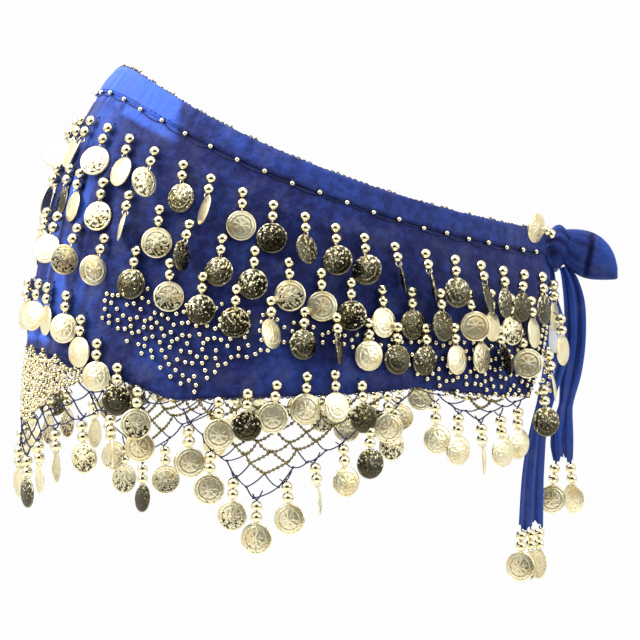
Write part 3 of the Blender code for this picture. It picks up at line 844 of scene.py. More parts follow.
class Wiring:
    """Adds and links the nodes of one tree."""

    def __init__(self, tree):
        self.tree = tree

    def node(self, kind, settings=None, wired=None, output=0):
        """Add one node: its settings first, then its sockets' values or links."""
        node = self.tree.nodes.new(kind)
        for key, value in (settings or {}).items():
            setattr(node, key, value)
        for key, value in (wired or {}).items():
            self.wire(node.inputs[key], value)
        return Signal(self, node.outputs[output])

    def wire(self, socket, value):
        """Link a signal to a socket, or set the socket's own value."""
        if isinstance(value, Signal):
            self.tree.links.new(value.socket, socket)
        elif isinstance(value, tuple) and len(value) == 3 and socket.type == "RGBA":
            socket.default_value = (*value, 1.0)
        else:
            socket.default_value = value


class Finish(Wiring):
    """A procedural material built around one Principled shader."""

    def __init__(self, name):
        self.material = bpy.data.materials.new(name)
        self.material.use_nodes = True
        super().__init__(self.material.node_tree)
        self.shader = self.tree.nodes["Principled BSDF"]

    def mix(self, factor, first, second):
        """A colour between two colours."""
        return self.node(
            "ShaderNodeMix", {"data_type": "RGBA", "clamp_factor": True},
            {0: factor, 6: first, 7: second}, output=2,
        )

    def attribute(self, name):
        return self.node("ShaderNodeAttribute", {"attribute_name": name}, output=2)

    def spot(self):
        """The piece's own face coordinates, as two signals."""
        spot = self.node("ShaderNodeUVMap", {"uv_map": "face"})
        across = self.node("ShaderNodeSeparateXYZ", wired={0: spot})
        return across, Signal(self, across.socket.node.outputs[1])

    def noise(self, scale, detail):
        """Noise that is fixed to the object."""
        place = self.node("ShaderNodeTexCoord", output=3)
        wired = {"Scale": scale, "Detail": detail, "Vector": place}
        return self.node("ShaderNodeTexNoise", wired=wired)

    def bump(self, height, strength, distance, under=None):
        wired = {"Height": height, "Strength": strength, "Distance": distance}
        if under is not None:
            wired["Normal"] = under
        return self.node("ShaderNodeBump", wired=wired)

    def set(self, **values):
        """Set or link the shader's sockets, their names with _ for each space."""
        for name, value in values.items():
            self.wire(self.shader.inputs[name.replace("_", " ")], value)
        return self.material


# Pitches of the woven and twisted yarns, as waves for each metre
WEAVE = 2.0 * math.pi / 0.0006
THREAD_TWIST = 2.0 * math.pi / 0.0009
SATIN_RIB = 2.0 * math.pi / 0.0005
SATIN_FLOAT = 2.0 * math.pi / 0.0008
# Greyish colour of the chiffon's smears: partly dust, partly painted sheen
DUST_AND_SHEEN = (0.075, 0.086, 0.190)
SATIN = (0.66, 0.68, 0.71)
SATIN_SHADE = (0.50, 0.53, 0.60)
OLIVE_GOLD = (0.26, 0.22, 0.095)
# Warmer plate in patches of a worn coin
HONEY = (0.80, 0.60, 0.24)


def chiffon_finish(name, dark, light, weave_bump):
    """Crinkled chiffon: fine weave, crepe grain, greyish smears that are partly painted sheen, and
    painted light and shade.
    """
    finish = Finish(name)
    across, down = finish.spot()
    share = finish.attribute("tone")
    cloud = finish.noise(26.0, 4.0)
    mottle = finish.noise(230.0, 4.0)
    crepe = finish.noise(1100.0, 3.0)
    shade = (cloud - 0.5) * 0.34 + (mottle - 0.5) * 0.60 + (crepe - 0.5) * 0.30
    # Painted light and shade: the tone attribute moves the colour from the deep blue towards the
    # light colour, and the mottle and crepe noise, which also make the crinkle bump, shade it
    # lighter and darker
    base = finish.mix((share * 0.92 + 0.05 + shade * (1.0 - share * 0.6)).limit(), dark, light)
    # Greyish smears over the blue, partly dust and partly painted sheen
    smear_and_sheen = finish.noise(75.0, 6.0).rise(0.48, 0.70) * 0.26
    base = finish.mix(smear_and_sheen, base, DUST_AND_SHEEN)
    grain = (across * WEAVE).sine() * (down * WEAVE).sine() * 0.3 + crepe
    crinkle = finish.bump(mottle, 0.70, 0.0016)
    normal = finish.bump(grain, weave_bump, 0.0003, crinkle)
    return finish.set(
        Base_Color=base,
        Roughness=0.58 + crepe * 0.2,
        Normal=normal,
        Sheen_Weight=0.10,
        Sheen_Roughness=0.5,
        Sheen_Tint=(0.35, 0.45, 0.95, 1.0),
        Specular_IOR_Level=0.20,
    )


def gold_finish(name, gold, roughness):
    """Pale gold plate with slight wear and dust."""
    finish = Finish(name)
    tone = finish.attribute("tone")
    cloud = finish.noise(420.0, 3.0)
    fine = finish.noise(2600.0, 2.0)
    worn = (gold[0] * 0.62, gold[1] * 0.56, gold[2] * 0.38)
    base = finish.mix((cloud.rise(0.45, 0.75) * 0.35 + tone * 0.8).limit(), gold, worn)
    return finish.set(
        Base_Color=base,
        Metallic=1.0,
        Roughness=roughness + fine * 0.05 + cloud * 0.03,
        Normal=finish.bump(fine, 0.05, 0.0001),
    )


def coin_finish(name, gold, patina):
    """Stamped coin: pale plate worn bright on the ridges, dark patina in openwork hollows."""
    finish = Finish(name)
    across, up = finish.spot()
    tone = finish.attribute("tone")
    reach = (across * across + up * up).maths("SQRT")
    angle = up.maths("ARCTAN2", across)
    petals = ((angle * 8.0) + (reach * 7.0)).sine() * 0.30
    scrolls = ((angle * 16.0) - (reach * 21.0)).sine() * 0.28
    break_up = (finish.noise(700.0, 4.0) - 0.5) * 4.0
    lace = petals + scrolls + break_up
    field = (0.92 - reach).rise(0.0, 0.05)
    # Painted light and shade: the coin is painted lighter towards its top and darker towards its
    # foot
    painted_shade_towards_foot = (0.0 - up) * 0.42
    gone_dark = tone.rise(0.0, 0.12)
    cover = field + (1.0 - field) * (gone_dark * 0.75 + 0.15)
    dark = (lace * 0.72 + tone + painted_shade_towards_foot).rise(-0.22, 0.30) * cover
    faint = finish.noise(1500.0, 2.0).rise(0.5, 0.75) * 0.10
    honey = finish.noise(110.0, 2.0).rise(0.46, 0.66) * 0.55
    plate = finish.mix(honey, gold, HONEY)
    base = finish.mix((dark * 0.92 + faint).limit(), plate, patina)
    height = (1.0 - dark) + lace * 0.25
    return finish.set(
        Base_Color=base,
        Metallic=0.84 + dark * 0.16,
        Roughness=0.30 - dark * 0.04,
        Normal=finish.bump(height, 0.45, 0.0004),
    )


def thread_finish(name, base_colour):
    """Twisted sewing thread."""
    finish = Finish(name)
    around, along = finish.spot()
    twist = (around * (2.0 * math.pi) + along * THREAD_TWIST).sine()
    # Painted highlight: the ridges of the twist take the lighter colour
    light = tuple(min(value * 1.7, 1.0) for value in base_colour)
    return finish.set(
        Base_Color=finish.mix(twist.rise(-0.4, 1.0), base_colour, light),
        Roughness=0.62 + twist * 0.08,
        Normal=finish.bump(twist, 0.5, 0.0002),
    )


def satin_finish(name):
    """White satin ribbon with a fine woven rib."""
    finish = Finish(name)
    across, down = finish.spot()
    rib = (down * SATIN_RIB).sine()
    float_yarn = (across * SATIN_FLOAT).sine()
    stain = finish.noise(180.0, 3.0)
    base = finish.mix(stain.rise(0.4, 0.8) * 0.5, SATIN, SATIN_SHADE)
    return finish.set(
        Base_Color=base,
        Roughness=0.40 + stain * 0.15,
        Normal=finish.bump(rib + float_yarn * 0.4, 0.25, 0.0002),
        Sheen_Weight=0.15,
    )


def finishes():
    """All finishes by name, made once."""
    cloth = bpy.context.scene.hip_scarf_cloth
    trim = bpy.context.scene.hip_scarf_trim
    dark, bright, tie = tuple(cloth.dark), tuple(cloth.bright), tuple(cloth.tie)
    gold, patina, blue = tuple(trim.gold), tuple(trim.patina), tuple(trim.thread)
    makers = {
        "scarf_chiffon": (chiffon_finish, dark, bright, 0.25),
        "tie_chiffon": (chiffon_finish, dark, tie, 0.2),
        "bead_plate": (gold_finish, gold, 0.09),
        "seed_plate": (gold_finish, gold, 0.16),
        "net_plate": (gold_finish, OLIVE_GOLD, 0.20),
        "coin_plate": (coin_finish, gold, patina),
        "blue_thread": (thread_finish, blue),
        "label_satin": (satin_finish,),
    }
    for name, (maker, *values) in makers.items():
        if name not in bpy.data.materials:
            maker(name, *values)
    return {name: bpy.data.materials[name] for name in makers}


def settle(piece, slot, *nodes):
    """A finished piece rides on the scarf, and stands for its nodes."""
    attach(piece, "root")
    if nodes:
        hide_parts(*nodes)
    return piece


def cloth_piece(name, size, at, finish, wall, leftward=False):
    """A sheet of rows, going down, by columns; at(row, column) gives point, spot and tone."""
    faces = grid_faces(*size)
    if not leftward:
        faces = [face[::-1] for face in faces]
    pile = Pile()
    pile.add(surface(size, at, faces))
    piece = pile.piece(name, [finishes()[finish]])
    wall_maker = piece.modifiers.new("wall", "SOLIDIFY")
    wall_maker.thickness = wall
    wall_maker.offset = 1.0
    return piece


def wound_piece(name, size, at, node):
    """A closed cloth form of rings by columns; at(row, column) gives point, spot and tone."""
    pile = Pile()
    pile.add(surface(size, at, tube_faces(*size)))
    settle(pile.piece(name, [finishes()["tie_chiffon"]]), "blue_chiffon", node)


def painted_light_share(turn, depth):
    """Share of painted light on the chiffon at a place."""
    share = 0.0
    drift = 1.1 * math.sin(depth * 95.0 + turn * 0.31) + 0.5 * math.sin(depth * 230.0 - turn)
    slip = 0.0014 * abs(math.sin(turn * 0.42)) + 0.0006 * math.sin(turn * 2.1 + 1.0)
    for patch in PAINTED_LIGHT_PATCHES:
        side = abs(turn + drift - patch.turn) / patch.half_turn
        level = abs(depth + slip - patch.depth) / patch.half_depth
        inside = 1.0 - blend(1.0 - patch.edge, 1.0, max(side, level))
        share = max(share, inside * patch.share)
    return share


PANEL_COLUMNS = 330
PANEL_ROWS = 56
BAND_ROWS = 7


class HIPSCARF_OT_panel(bpy.types.Operator):
    """Build the beaded panel's chiffon and the doubled band along its top"""

    bl_idname = "hip_scarf.panel"
    bl_label = "Panel and hem band"

    def execute(self, context):
        shell = context.scene.hip_scarf_cloth.shell

        def panel(row, step):
            column = self.column(step)
            depth = hem_depth(column) * row / (PANEL_ROWS - 1)
            turn = panel_turn(column, depth)
            spot = (column * METRES_PER_DEGREE, -depth)
            # The panel's tone is its share of painted light, from the lit patches
            return on_scarf(turn, depth, CLOTH - shell), spot, painted_light_share(turn, depth)

        def band(row, step):
            column = self.column(step)
            depth = BAND_DEPTH * row / (BAND_ROWS - 1)
            turn = panel_turn(column, depth)
            pucker = 0.0002 * math.sin(column * 5.3) * math.sin(math.pi * row / 6.0)
            streak = 0.05 * math.sin(column * 1.9 + 3.0 * math.sin(column * 0.37))
            spot = (column * METRES_PER_DEGREE, -depth)
            point = on_scarf(turn, depth, CLOTH + SEAM + pucker)
            # The band's tone is its share of painted light: a base share, streaks along the band
            # and the lit patches
            return point, spot, 0.10 + streak + painted_light_share(turn, depth)

        for name, rows, at, slot, node in (
            ("panel_cloth", PANEL_ROWS, panel, "blue_chiffon", "beaded_panel"),
            ("hem_band_cloth", BAND_ROWS, band, "doubled_chiffon", "top_hem_band"),
        ):
            settle(cloth_piece(name, (rows, PANEL_COLUMNS), at, "scarf_chiffon", shell), slot, node)
        return {"FINISHED"}

    def column(self, step):
        """The cloth's column at a step from one short end to the other."""
        return -END_COLUMN + 2.0 * END_COLUMN * step / (PANEL_COLUMNS - 1)


def look_frame(centre, across, up):
    """Matrix that puts +X across, +Y up and +Z out at a point."""
    across = across.normalized()
    out = across.cross(up).normalized()
    up = out.cross(across)
    turned = Matrix((across, up, out)).transposed().to_4x4()
    turned.translation = centre
    return turned


# Near the scarf's centre, which faces the key light, fewer coins are dark: painted light
PALE_REACH = 34.0
PALE_DARK_SHARE = 0.12
# Few dark coins in the fringes: painted light, the coins left pale as if lit from behind by the
# bright backdrop; the end drops take the same share
FRINGE_DARK_SHARE = 0.10
PEAK_DARK_SHARE = 0.34
DROP_THREAD = 0.00035


class DropMaker:
    """Hangs drops of two beads over a coin."""

    # Falls below the root: the two beads' middles and the coin's
    BEAD_FALLS = (0.0031, 0.0092)
    COIN_FALL = 0.0211
    EDGE_ON = 0.13
    # Part of the coins that have gone dark, and how far pale and dark coins are apart
    DARK_SHARE = 0.66
    PALE_TONE = (-1.50, -0.85)
    HALF_TONE = (-0.50, -0.20)
    DARK_TONE = (0.26, 0.56)
    HALF_SHARE = 0.30
    # How far a drop sways aside, and how far its parts stand off the cloth
    SWAY = 0.0011
    BEAD_CLEAR = 0.0002
    COIN_CLEAR = 0.0012
    # Thread above the root, and the ring and the thread's end over the coin's eye
    THREAD_HEAD = 0.0012
    THREAD_FOOT = 0.0018
    RING_RADIUS = 0.0016
    RING_WIRE = 0.0003
    RING_RISE = 0.0007

    def __init__(self, seed, dark_share=DARK_SHARE):
        trim = bpy.context.scene.hip_scarf_trim
        self.dark_share = dark_share
        self.bead = trim.bead
        self.coin_radius = trim.coin / 2.0
        self.chance = random.Random(seed)
        self.bead_shape = ball(14, 9, 0.94, 0.16)
        self.coin_shape = coin()
        self.ring = ring_shape(self.RING_RADIUS, self.RING_WIRE)
        self.pile = Pile()

    def swing(self, edge_on):
        """A coin's turn about its own hanging line."""
        if self.chance.random() < edge_on:
            return math.copysign(self.chance.uniform(0.75, 1.25), self.chance.random() - 0.5)
        return self.chance.gauss(0.0, 0.22)

    def hang(self, place, outward, base_out=0.0, edge_on=EDGE_ON, loose=0.5, dark_share=None):
        """One drop. place(fall, aside, out) gives points; outward is the cloth's way out."""
        chance = self.chance
        dark_share = self.dark_share if dark_share is None else dark_share
        sway = chance.gauss(0.0, self.SWAY) * loose
        yaw = self.swing(edge_on)
        clear = base_out + self.bead / 2.0 + self.BEAD_CLEAR
        turned_out = self.coin_radius * abs(math.sin(yaw)) * 0.92
        coin_out = base_out + self.COIN_CLEAR + turned_out
        coin_out = max(coin_out, clear * 0.72)
        knots = [place(-self.THREAD_HEAD, 0.0, base_out)]
        for index, fall in enumerate(self.BEAD_FALLS):
            share = (index + 1) * 0.5
            centre = place(fall, sway * share, clear + (coin_out - clear) * 0.35 * index)
            tip = Matrix.Rotation(chance.gauss(0.0, 0.16), 4, "X")
            lean = Matrix.Rotation(chance.gauss(0.0, 0.16), 4, "Y")
            bead = placed(centre, self.bead, tip, lean)
            self.pile.add(self.bead_shape, bead, 0, chance.uniform(0.0, 0.25))
            knots.append(centre)
        centre = place(self.COIN_FALL, sway * 1.8, coin_out)
        up = (knots[-1] - centre).normalized()
        across = Quaternion(up, yaw) @ up.cross(outward).normalized()
        turned = look_frame(centre, across, up)
        radius = self.coin_radius * chance.uniform(0.97, 1.02)
        spin = Matrix.Rotation(chance.gauss(0.0, 0.25), 4, "Z")
        face = turned @ spin @ Matrix.Diagonal((radius, radius, radius, 1.0))
        tones = self.PALE_TONE
        if chance.random() < dark_share:
            tones = self.DARK_TONE
        elif chance.random() < self.HALF_SHARE:
            tones = self.HALF_TONE
        self.pile.add(self.coin_shape, face, 1, chance.uniform(*tones))
        eye = centre + up * (self.coin_radius * 0.93)
        ring = look_frame(eye + up * self.RING_RISE, across, up)
        self.pile.add(self.ring, ring, 0)
        knots.append(eye + up * self.THREAD_FOOT)
        self.pile.add(thread(knots, DROP_THREAD), None, 2)

    def on_cloth(self, turn, depth, base_out, edge_on=EDGE_ON):
        """A drop that lies on the cloth below its root."""
        outward = form_frame(turn, top_edge(turn) - depth)[1]

        def place(fall, aside, out):
            beside = turn + aside / METRES_PER_DEGREE
            return on_scarf(beside, top_edge(beside) - (top_edge(turn) - depth - fall), out)

        bright_side = PALE_DARK_SHARE if abs(turn) < PALE_REACH else None
        self.hang(place, outward, base_out, edge_on, dark_share=bright_side)

    def free(self, root, outward, edge_on):
        """A drop that hangs free below a point."""
        across = Vector((-outward.y, outward.x, 0.0)).normalized()

        def place(fall, aside, _):
            return root + across * aside + Vector((0.0, 0.0, -fall))

        self.hang(place, outward, edge_on=edge_on, loose=1.0)

    def piece(self, name, *nodes):
        made = finishes()
        used = [made["bead_plate"], made["coin_plate"], made["blue_thread"]]
        return settle(self.pile.piece(name, used), "champagne_gold", *nodes)


class HIPSCARF_OT_coin_rows(bpy.types.Operator):
    """Hang the rows of coin drops that are sewn on the cloth"""

    bl_idname = "hip_scarf.coin_rows"
    bl_label = "Coin rows"

    def execute(self, context):
        upper = row_path(UPPER_ROW)
        limit = panel_turn(END_COLUMN, UPPER_ROW[-1].depth) - ROW_END_MARGIN
        marks = even_steps(upper, -limit, limit, COIN_SPACING)
        rows = (
            ("coin_row_upper", UPPER_ROW, marks, 2),
            ("coin_row_middle", MIDDLE_ROW, midway(marks), 1),
            ("coin_row_lower", LOWER_ROW, marks, 0),
        )
        for seed, (name, points, places, layer) in enumerate(rows):
            reach = panel_turn(END_COLUMN, points[-1].depth) - ROW_END_MARGIN
            maker = DropMaker(20 + seed)
            for turn in places:
                if abs(turn) > reach:
                    continue
                depth = between(points, abs(turn)) + STRIP_DEEP
                maker.on_cloth(turn, depth, CLOTH + pile_lift(layer, turn))
            maker.piece(name + "_drops", name)
        for seed, (points, names) in enumerate((
            (CENTRE_PEAK_ROW, ("coin_row_centre_peak",)),
            (SIDE_PEAK_ROW, ("coin_row_front_peak", "coin_row_back_peak")),
        )):
            path = open_row_path(points)
            turns = even_steps(path, points[0].turn, points[-1].turn, COIN_SPACING)
            for name, side in zip(names, (1.0, -1.0)):
                maker = DropMaker(30 + seed, PEAK_DARK_SHARE)
                for turn in turns:
                    depth = between(points, turn) + STRIP_DEEP
                    maker.on_cloth(side * turn, depth, CLOTH, 0.08)
                maker.piece(name + "_drops", name)
        return {"FINISHED"}


class HIPSCARF_OT_end_drops(bpy.types.Operator):
    """Hang the drops down the panel's two short ends"""

    bl_idname = "hip_scarf.end_drops"
    bl_label = "End drops"

    def execute(self, context):
        gap = (END_DROP_FOOT - END_DROP_TOP) / (END_DROPS - 1)
        for seed, (name, side) in enumerate((("near_end_drops", 1.0), ("far_end_drops", -1.0))):
            maker = DropMaker(50 + seed, FRINGE_DARK_SHARE)
            for index in range(END_DROPS):
                depth = END_DROP_TOP + gap * index
                turn = side * (panel_turn(END_COLUMN, depth) - END_DROP_INSET)
                lift = END_DROP_STAGGER * (index % 2)
                maker.on_cloth(turn, depth, CLOTH + END_DROP_OUT + lift, 0.1)
            maker.piece(name.replace("drops", "coins"), name)
        return {"FINISHED"}


NET_THREAD_RADIUS = 0.00045
NET_SAG = 0.0009
NET_OUT = 0.0008
NET_WANDER = 0.0011
PLAIN_KNOT = 0.0017
FRINGE_ROOT_OUT = 0.0014
FRINGE_ROOT_DOWN = 0.001
FRINGE_THREAD = 0.0004
FRINGE_THREAD_DIP = 0.0006

# How each kind of net is beaded: bead size, finish slot, and how far in the cells are filled
NetBeading = namedtuple("NetBeading", "bead plate fill")
DENSE_BEADING = NetBeading(0.0025, 0, 2)
OPEN_BEADING = NetBeading(0.0021, 2, 99)


class HIPSCARF_OT_nets(bpy.types.Operator):
    """Knot the five bead nets under the hem"""

    bl_idname = "hip_scarf.nets"
    bl_label = "Bead nets"

    def execute(self, context):
        made = finishes()
        used = [made["seed_plate"], made["blue_thread"], made["net_plate"]]
        self.bead = ball(7, 5, 0.9, 0.2)
        for seed, (name, side, left, right, tip, cells) in enumerate(nets()):
            self.chance = random.Random(70 + seed)
            self.pile = Pile()
            self.beading = DENSE_BEADING if name == "centre" else OPEN_BEADING
            knots = self.lattice(side, left, right, tip, cells)
            for (a, b), start in knots.items():
                outer = 1 if name != "centre" else 2
                for follow in ((a + 1, b), (a, b + 1)):
                    if follow in knots:
                        plain = min(a, b) < outer or min(follow) < outer
                        self.strand(start, knots[follow], plain)
                self.knot(start, min(a, b) < outer and a + b < cells)
                filled = min(a, b) >= self.beading.fill
                if filled and (a + 1, b + 1) in knots:
                    self.strand(start, knots[a + 1, b + 1], False)
                    self.strand(knots[a + 1, b], knots[a, b + 1], False)
            settle(self.pile.piece(name + "_net_beads", used), "beaded_thread", name + "_net")
        return {"FINISHED"}

    def lattice(self, side, left, right, tip, cells):
        """The net's knots, each a little off its even place."""
        chance = self.chance
        knots = {}
        for a in range(cells + 1):
            for b in range(cells + 1 - a):
                column = tip.column + (left.column - tip.column) * a / cells
                column += (right.column - tip.column) * b / cells
                depth = tip.depth + (left.depth - tip.depth) * a / cells
                depth += (right.depth - tip.depth) * b / cells + NET_SEAM
                wander = 0.0 if a + b == cells else NET_WANDER
                turn = side * panel_turn(column, depth)
                turn += chance.gauss(0.0, wander) / METRES_PER_DEGREE
                depth += chance.gauss(0.0, wander)
                knots[a, b] = on_form(turn, top_edge(turn) - depth, NET_OUT)
        return knots

    def strand(self, start, end, plain):
        """One side of a cell: a sagging thread, strung with beads unless it is an outer one."""
        chance = self.chance
        sag = Vector((0.0, 0.0, -NET_SAG * chance.uniform(0.3, 1.7)))

        def hung(share):
            return start.lerp(end, share) + sag * (4.0 * share * (1.0 - share))

        self.pile.add(thread(along_shares(6, hung), NET_THREAD_RADIUS), None, 1)
        if plain:
            return
        bead_size = self.beading.bead
        length = (end - start).length
        count = max(int((length - bead_size) / (bead_size * 1.1)), 1)
        along = (end - start).normalized()
        turned = Vector((0.0, 0.0, 1.0)).rotation_difference(along).to_matrix().to_4x4()
        for index in range(count):
            centre = hung((index + 1.0) / (count + 1.0))
            bead = placed(centre, bead_size * chance.uniform(0.86, 1.12), turned)
            self.pile.add(self.bead, bead, self.beading.plate, chance.uniform(0.0, 0.9))

    def knot(self, place, plain):
        """A knotted crossing: a bead, or a small lump of thread."""
        size = PLAIN_KNOT if plain else self.beading.bead * 1.25
        slot = 1 if plain else self.beading.plate
        self.pile.add(self.bead, placed(place, size), slot, self.chance.uniform(0.5, 1.2))


class HIPSCARF_OT_net_fringes(bpy.types.Operator):
    """Hang the coin fringe on each net's lower edge"""

    bl_idname = "hip_scarf.net_fringes"
    bl_label = "Net fringes"

    def execute(self, context):
        for seed, (name, side, left, right, tip, cells) in enumerate(nets()):
            path = net_edge_path(left, right, tip)
            drops = even_steps(path, FRINGE_MARGIN, 2.0 - FRINGE_MARGIN, FRINGE_SPACING[cells])
            maker = DropMaker(90 + seed, FRINGE_DARK_SHARE)
            for value in drops:
                turn, height = path(value)
                turn *= side
                outward = form_frame(turn, height)[1]
                root = on_form(turn, height - STRIP_DEEP - FRINGE_ROOT_DOWN, FRINGE_ROOT_OUT)
                maker.free(root, outward, 0.22)
                for step in (-1.0, 1.0):
                    beside = clamp(value + step * 0.35 / cells, FRINGE_MARGIN / 2, 2.0)
                    near_turn, near_height = path(beside)
                    start = on_form(side * near_turn, near_height, NET_OUT)
                    middle = start.lerp(root, 0.6) + Vector((0.0, 0.0, -FRINGE_THREAD_DIP))
                    maker.pile.add(thread([start, middle, root], FRINGE_THREAD), None, 2)
            maker.piece(name + "_net_coins", name + "_net_fringe")
        return {"FINISHED"}


# Arches of thread along the top edge
PICOT_STEP = 0.0031
PICOT_FOOT = 0.0004
PICOT_RISE = (0.0004, 0.0015)
PICOT_WANDER = 0.0002
PICOT_BEAD = 0.0018
PICOT_THREAD = 0.00038
# Loops of thread over the hem
SCALLOP_DIP = (0.0006, 0.0016)
SCALLOP_TOP = 0.0005
SCALLOP_INSET = 0.0002
SCALLOP_THREAD = 0.00045
# String of beads under the hem band
SEAM_BEAD = 0.0030
SEAM_BEAD_DOWN = 0.0006
SEAM_BEAD_WANDER = 0.0004
SEAM_BEAD_OUT = 0.0017
SEAM_BEAD_SPACING = 0.0165
SEAM_REACH = 143.0
SEAM_SLACK = (0.0006, 0.0024)
SEAM_THREAD_OUT = 0.0004
SEAM_THREAD = 0.00036
# Stitches along the hem band's foot
STITCH = 0.0044
STITCH_SHARE = 0.62
STITCH_REACH = 148.0
STITCH_UP = 0.0012
STITCH_OUT = 0.0007
STITCH_ARCH = 0.0003
STITCH_THREAD = 0.00022


class HIPSCARF_OT_edging(bpy.types.Operator):
    """Sew the picot edging, the small beads of the hem band and its scalloped thread"""

    bl_idname = "hip_scarf.edging"
    bl_label = "Edging"

    def execute(self, context):
        made = finishes()
        used = [made["seed_plate"], made["blue_thread"]]
        self.chance = random.Random(7)
        self.bead = ball(10, 7, 0.9, 0.2)
        settle(self.picots().piece("picot_edging", used), "blue_chiffon")
        settle(self.seam().piece("band_seam_beads", used), "champagne_gold")
        return {"FINISHED"}

    def picots(self):
        """Arches of thread along the top edge, a few with a bead, and loops over the hem."""
        chance = self.chance
        edge = Pile()
        count = int(2.0 * END_COLUMN / (PICOT_STEP / METRES_PER_DEGREE))
        out = CLOTH + SEAM
        for index in range(count):
            start = -END_COLUMN + 2.0 * END_COLUMN * index / count
            end = -END_COLUMN + 2.0 * END_COLUMN * (index + 1) / count
            rise = chance.uniform(*PICOT_RISE)

            def arch(share):
                depth = PICOT_FOOT - rise * math.sin(math.pi * share)
                wander = chance.gauss(0, PICOT_WANDER)
                return on_scarf(start + (end - start) * share, depth, out + wander)

            edge.add(thread(along_shares(6, arch), PICOT_THREAD), None, 1)
            if index % 5 == 2 and chance.random() < 0.72:
                size = PICOT_BEAD * chance.uniform(0.8, 1.1)
                centre = on_scarf((start + end) / 2.0, -rise - PICOT_FOOT, out)
                edge.add(self.bead, placed(centre, size), 0, chance.uniform(0.0, 0.8))
        for index in range(count):
            edge.add(self.hem_scallop(index / count, (index + 1.0) / count), None, 1)
        return edge

    def hem_scallop(self, start, end):
        """One loop of thread over the raw hem, between two shares of the way along it."""
        dip = self.chance.uniform(*SCALLOP_DIP)

        def loop(share):
            column = END_COLUMN * (2.0 * (start + (end - start) * share) - 1.0)
            depth = hem_depth(column) + dip * math.sin(math.pi * share) - SCALLOP_TOP
            return on_scarf(panel_turn(column, depth), depth, CLOTH - SCALLOP_INSET)

        return thread(along_shares(5, loop), SCALLOP_THREAD)

    def seam(self):
        """The string of beads under the hem band, its slack thread and the band's stitches."""
        chance = self.chance
        seam = Pile()
        path = row_path(table(RowPoint, (0, BAND_DEPTH), (180, BAND_DEPTH)))
        turns = even_steps(path, -SEAM_REACH, SEAM_REACH, SEAM_BEAD_SPACING)
        for turn, follow in zip(turns, turns[1:] + [None]):
            depth = BAND_DEPTH + SEAM_BEAD_DOWN + chance.gauss(0.0, SEAM_BEAD_WANDER)
            centre = on_scarf(turn, depth, CLOTH + SEAM_BEAD_OUT)
            tip = Matrix.Rotation(chance.uniform(0.0, 3.1), 4, "X")
            seam.add(self.bead, placed(centre, SEAM_BEAD, tip), 0, chance.uniform(0.0, 0.3))
            if follow is None:
                continue
            drop = chance.uniform(*SEAM_SLACK)

            def slack(share):
                down = depth + drop * math.sin(math.pi * share) ** 0.8
                return on_scarf(turn + (follow - turn) * share, down, CLOTH + SEAM_THREAD_OUT)

            seam.add(thread(along_shares(9, slack), SEAM_THREAD), None, 1)
        step = STITCH / METRES_PER_DEGREE
        for index in range(int(2.0 * STITCH_REACH / step)):
            first = -STITCH_REACH + step * index

            def stitch(share):
                lift = STITCH_ARCH * math.sin(math.pi * share)
                out = CLOTH + SEAM + STITCH_OUT + lift
                return on_scarf(first + step * STITCH_SHARE * share, BAND_DEPTH - STITCH_UP, out)

            seam.add(thread(along_shares(4, stitch), STITCH_THREAD), None, 1)
        return seam


STRING_BEADS = (6, 15)
STRING_STEP = 0.0037
STRING_GAP = 0.0041
STRING_TRIES = 30
END_BEAD_COLUMNS = (149.9, 148.0, 145.6)
END_BEAD_STEP = 0.0036
END_BEAD_DEPTHS = (0.034, 0.096)


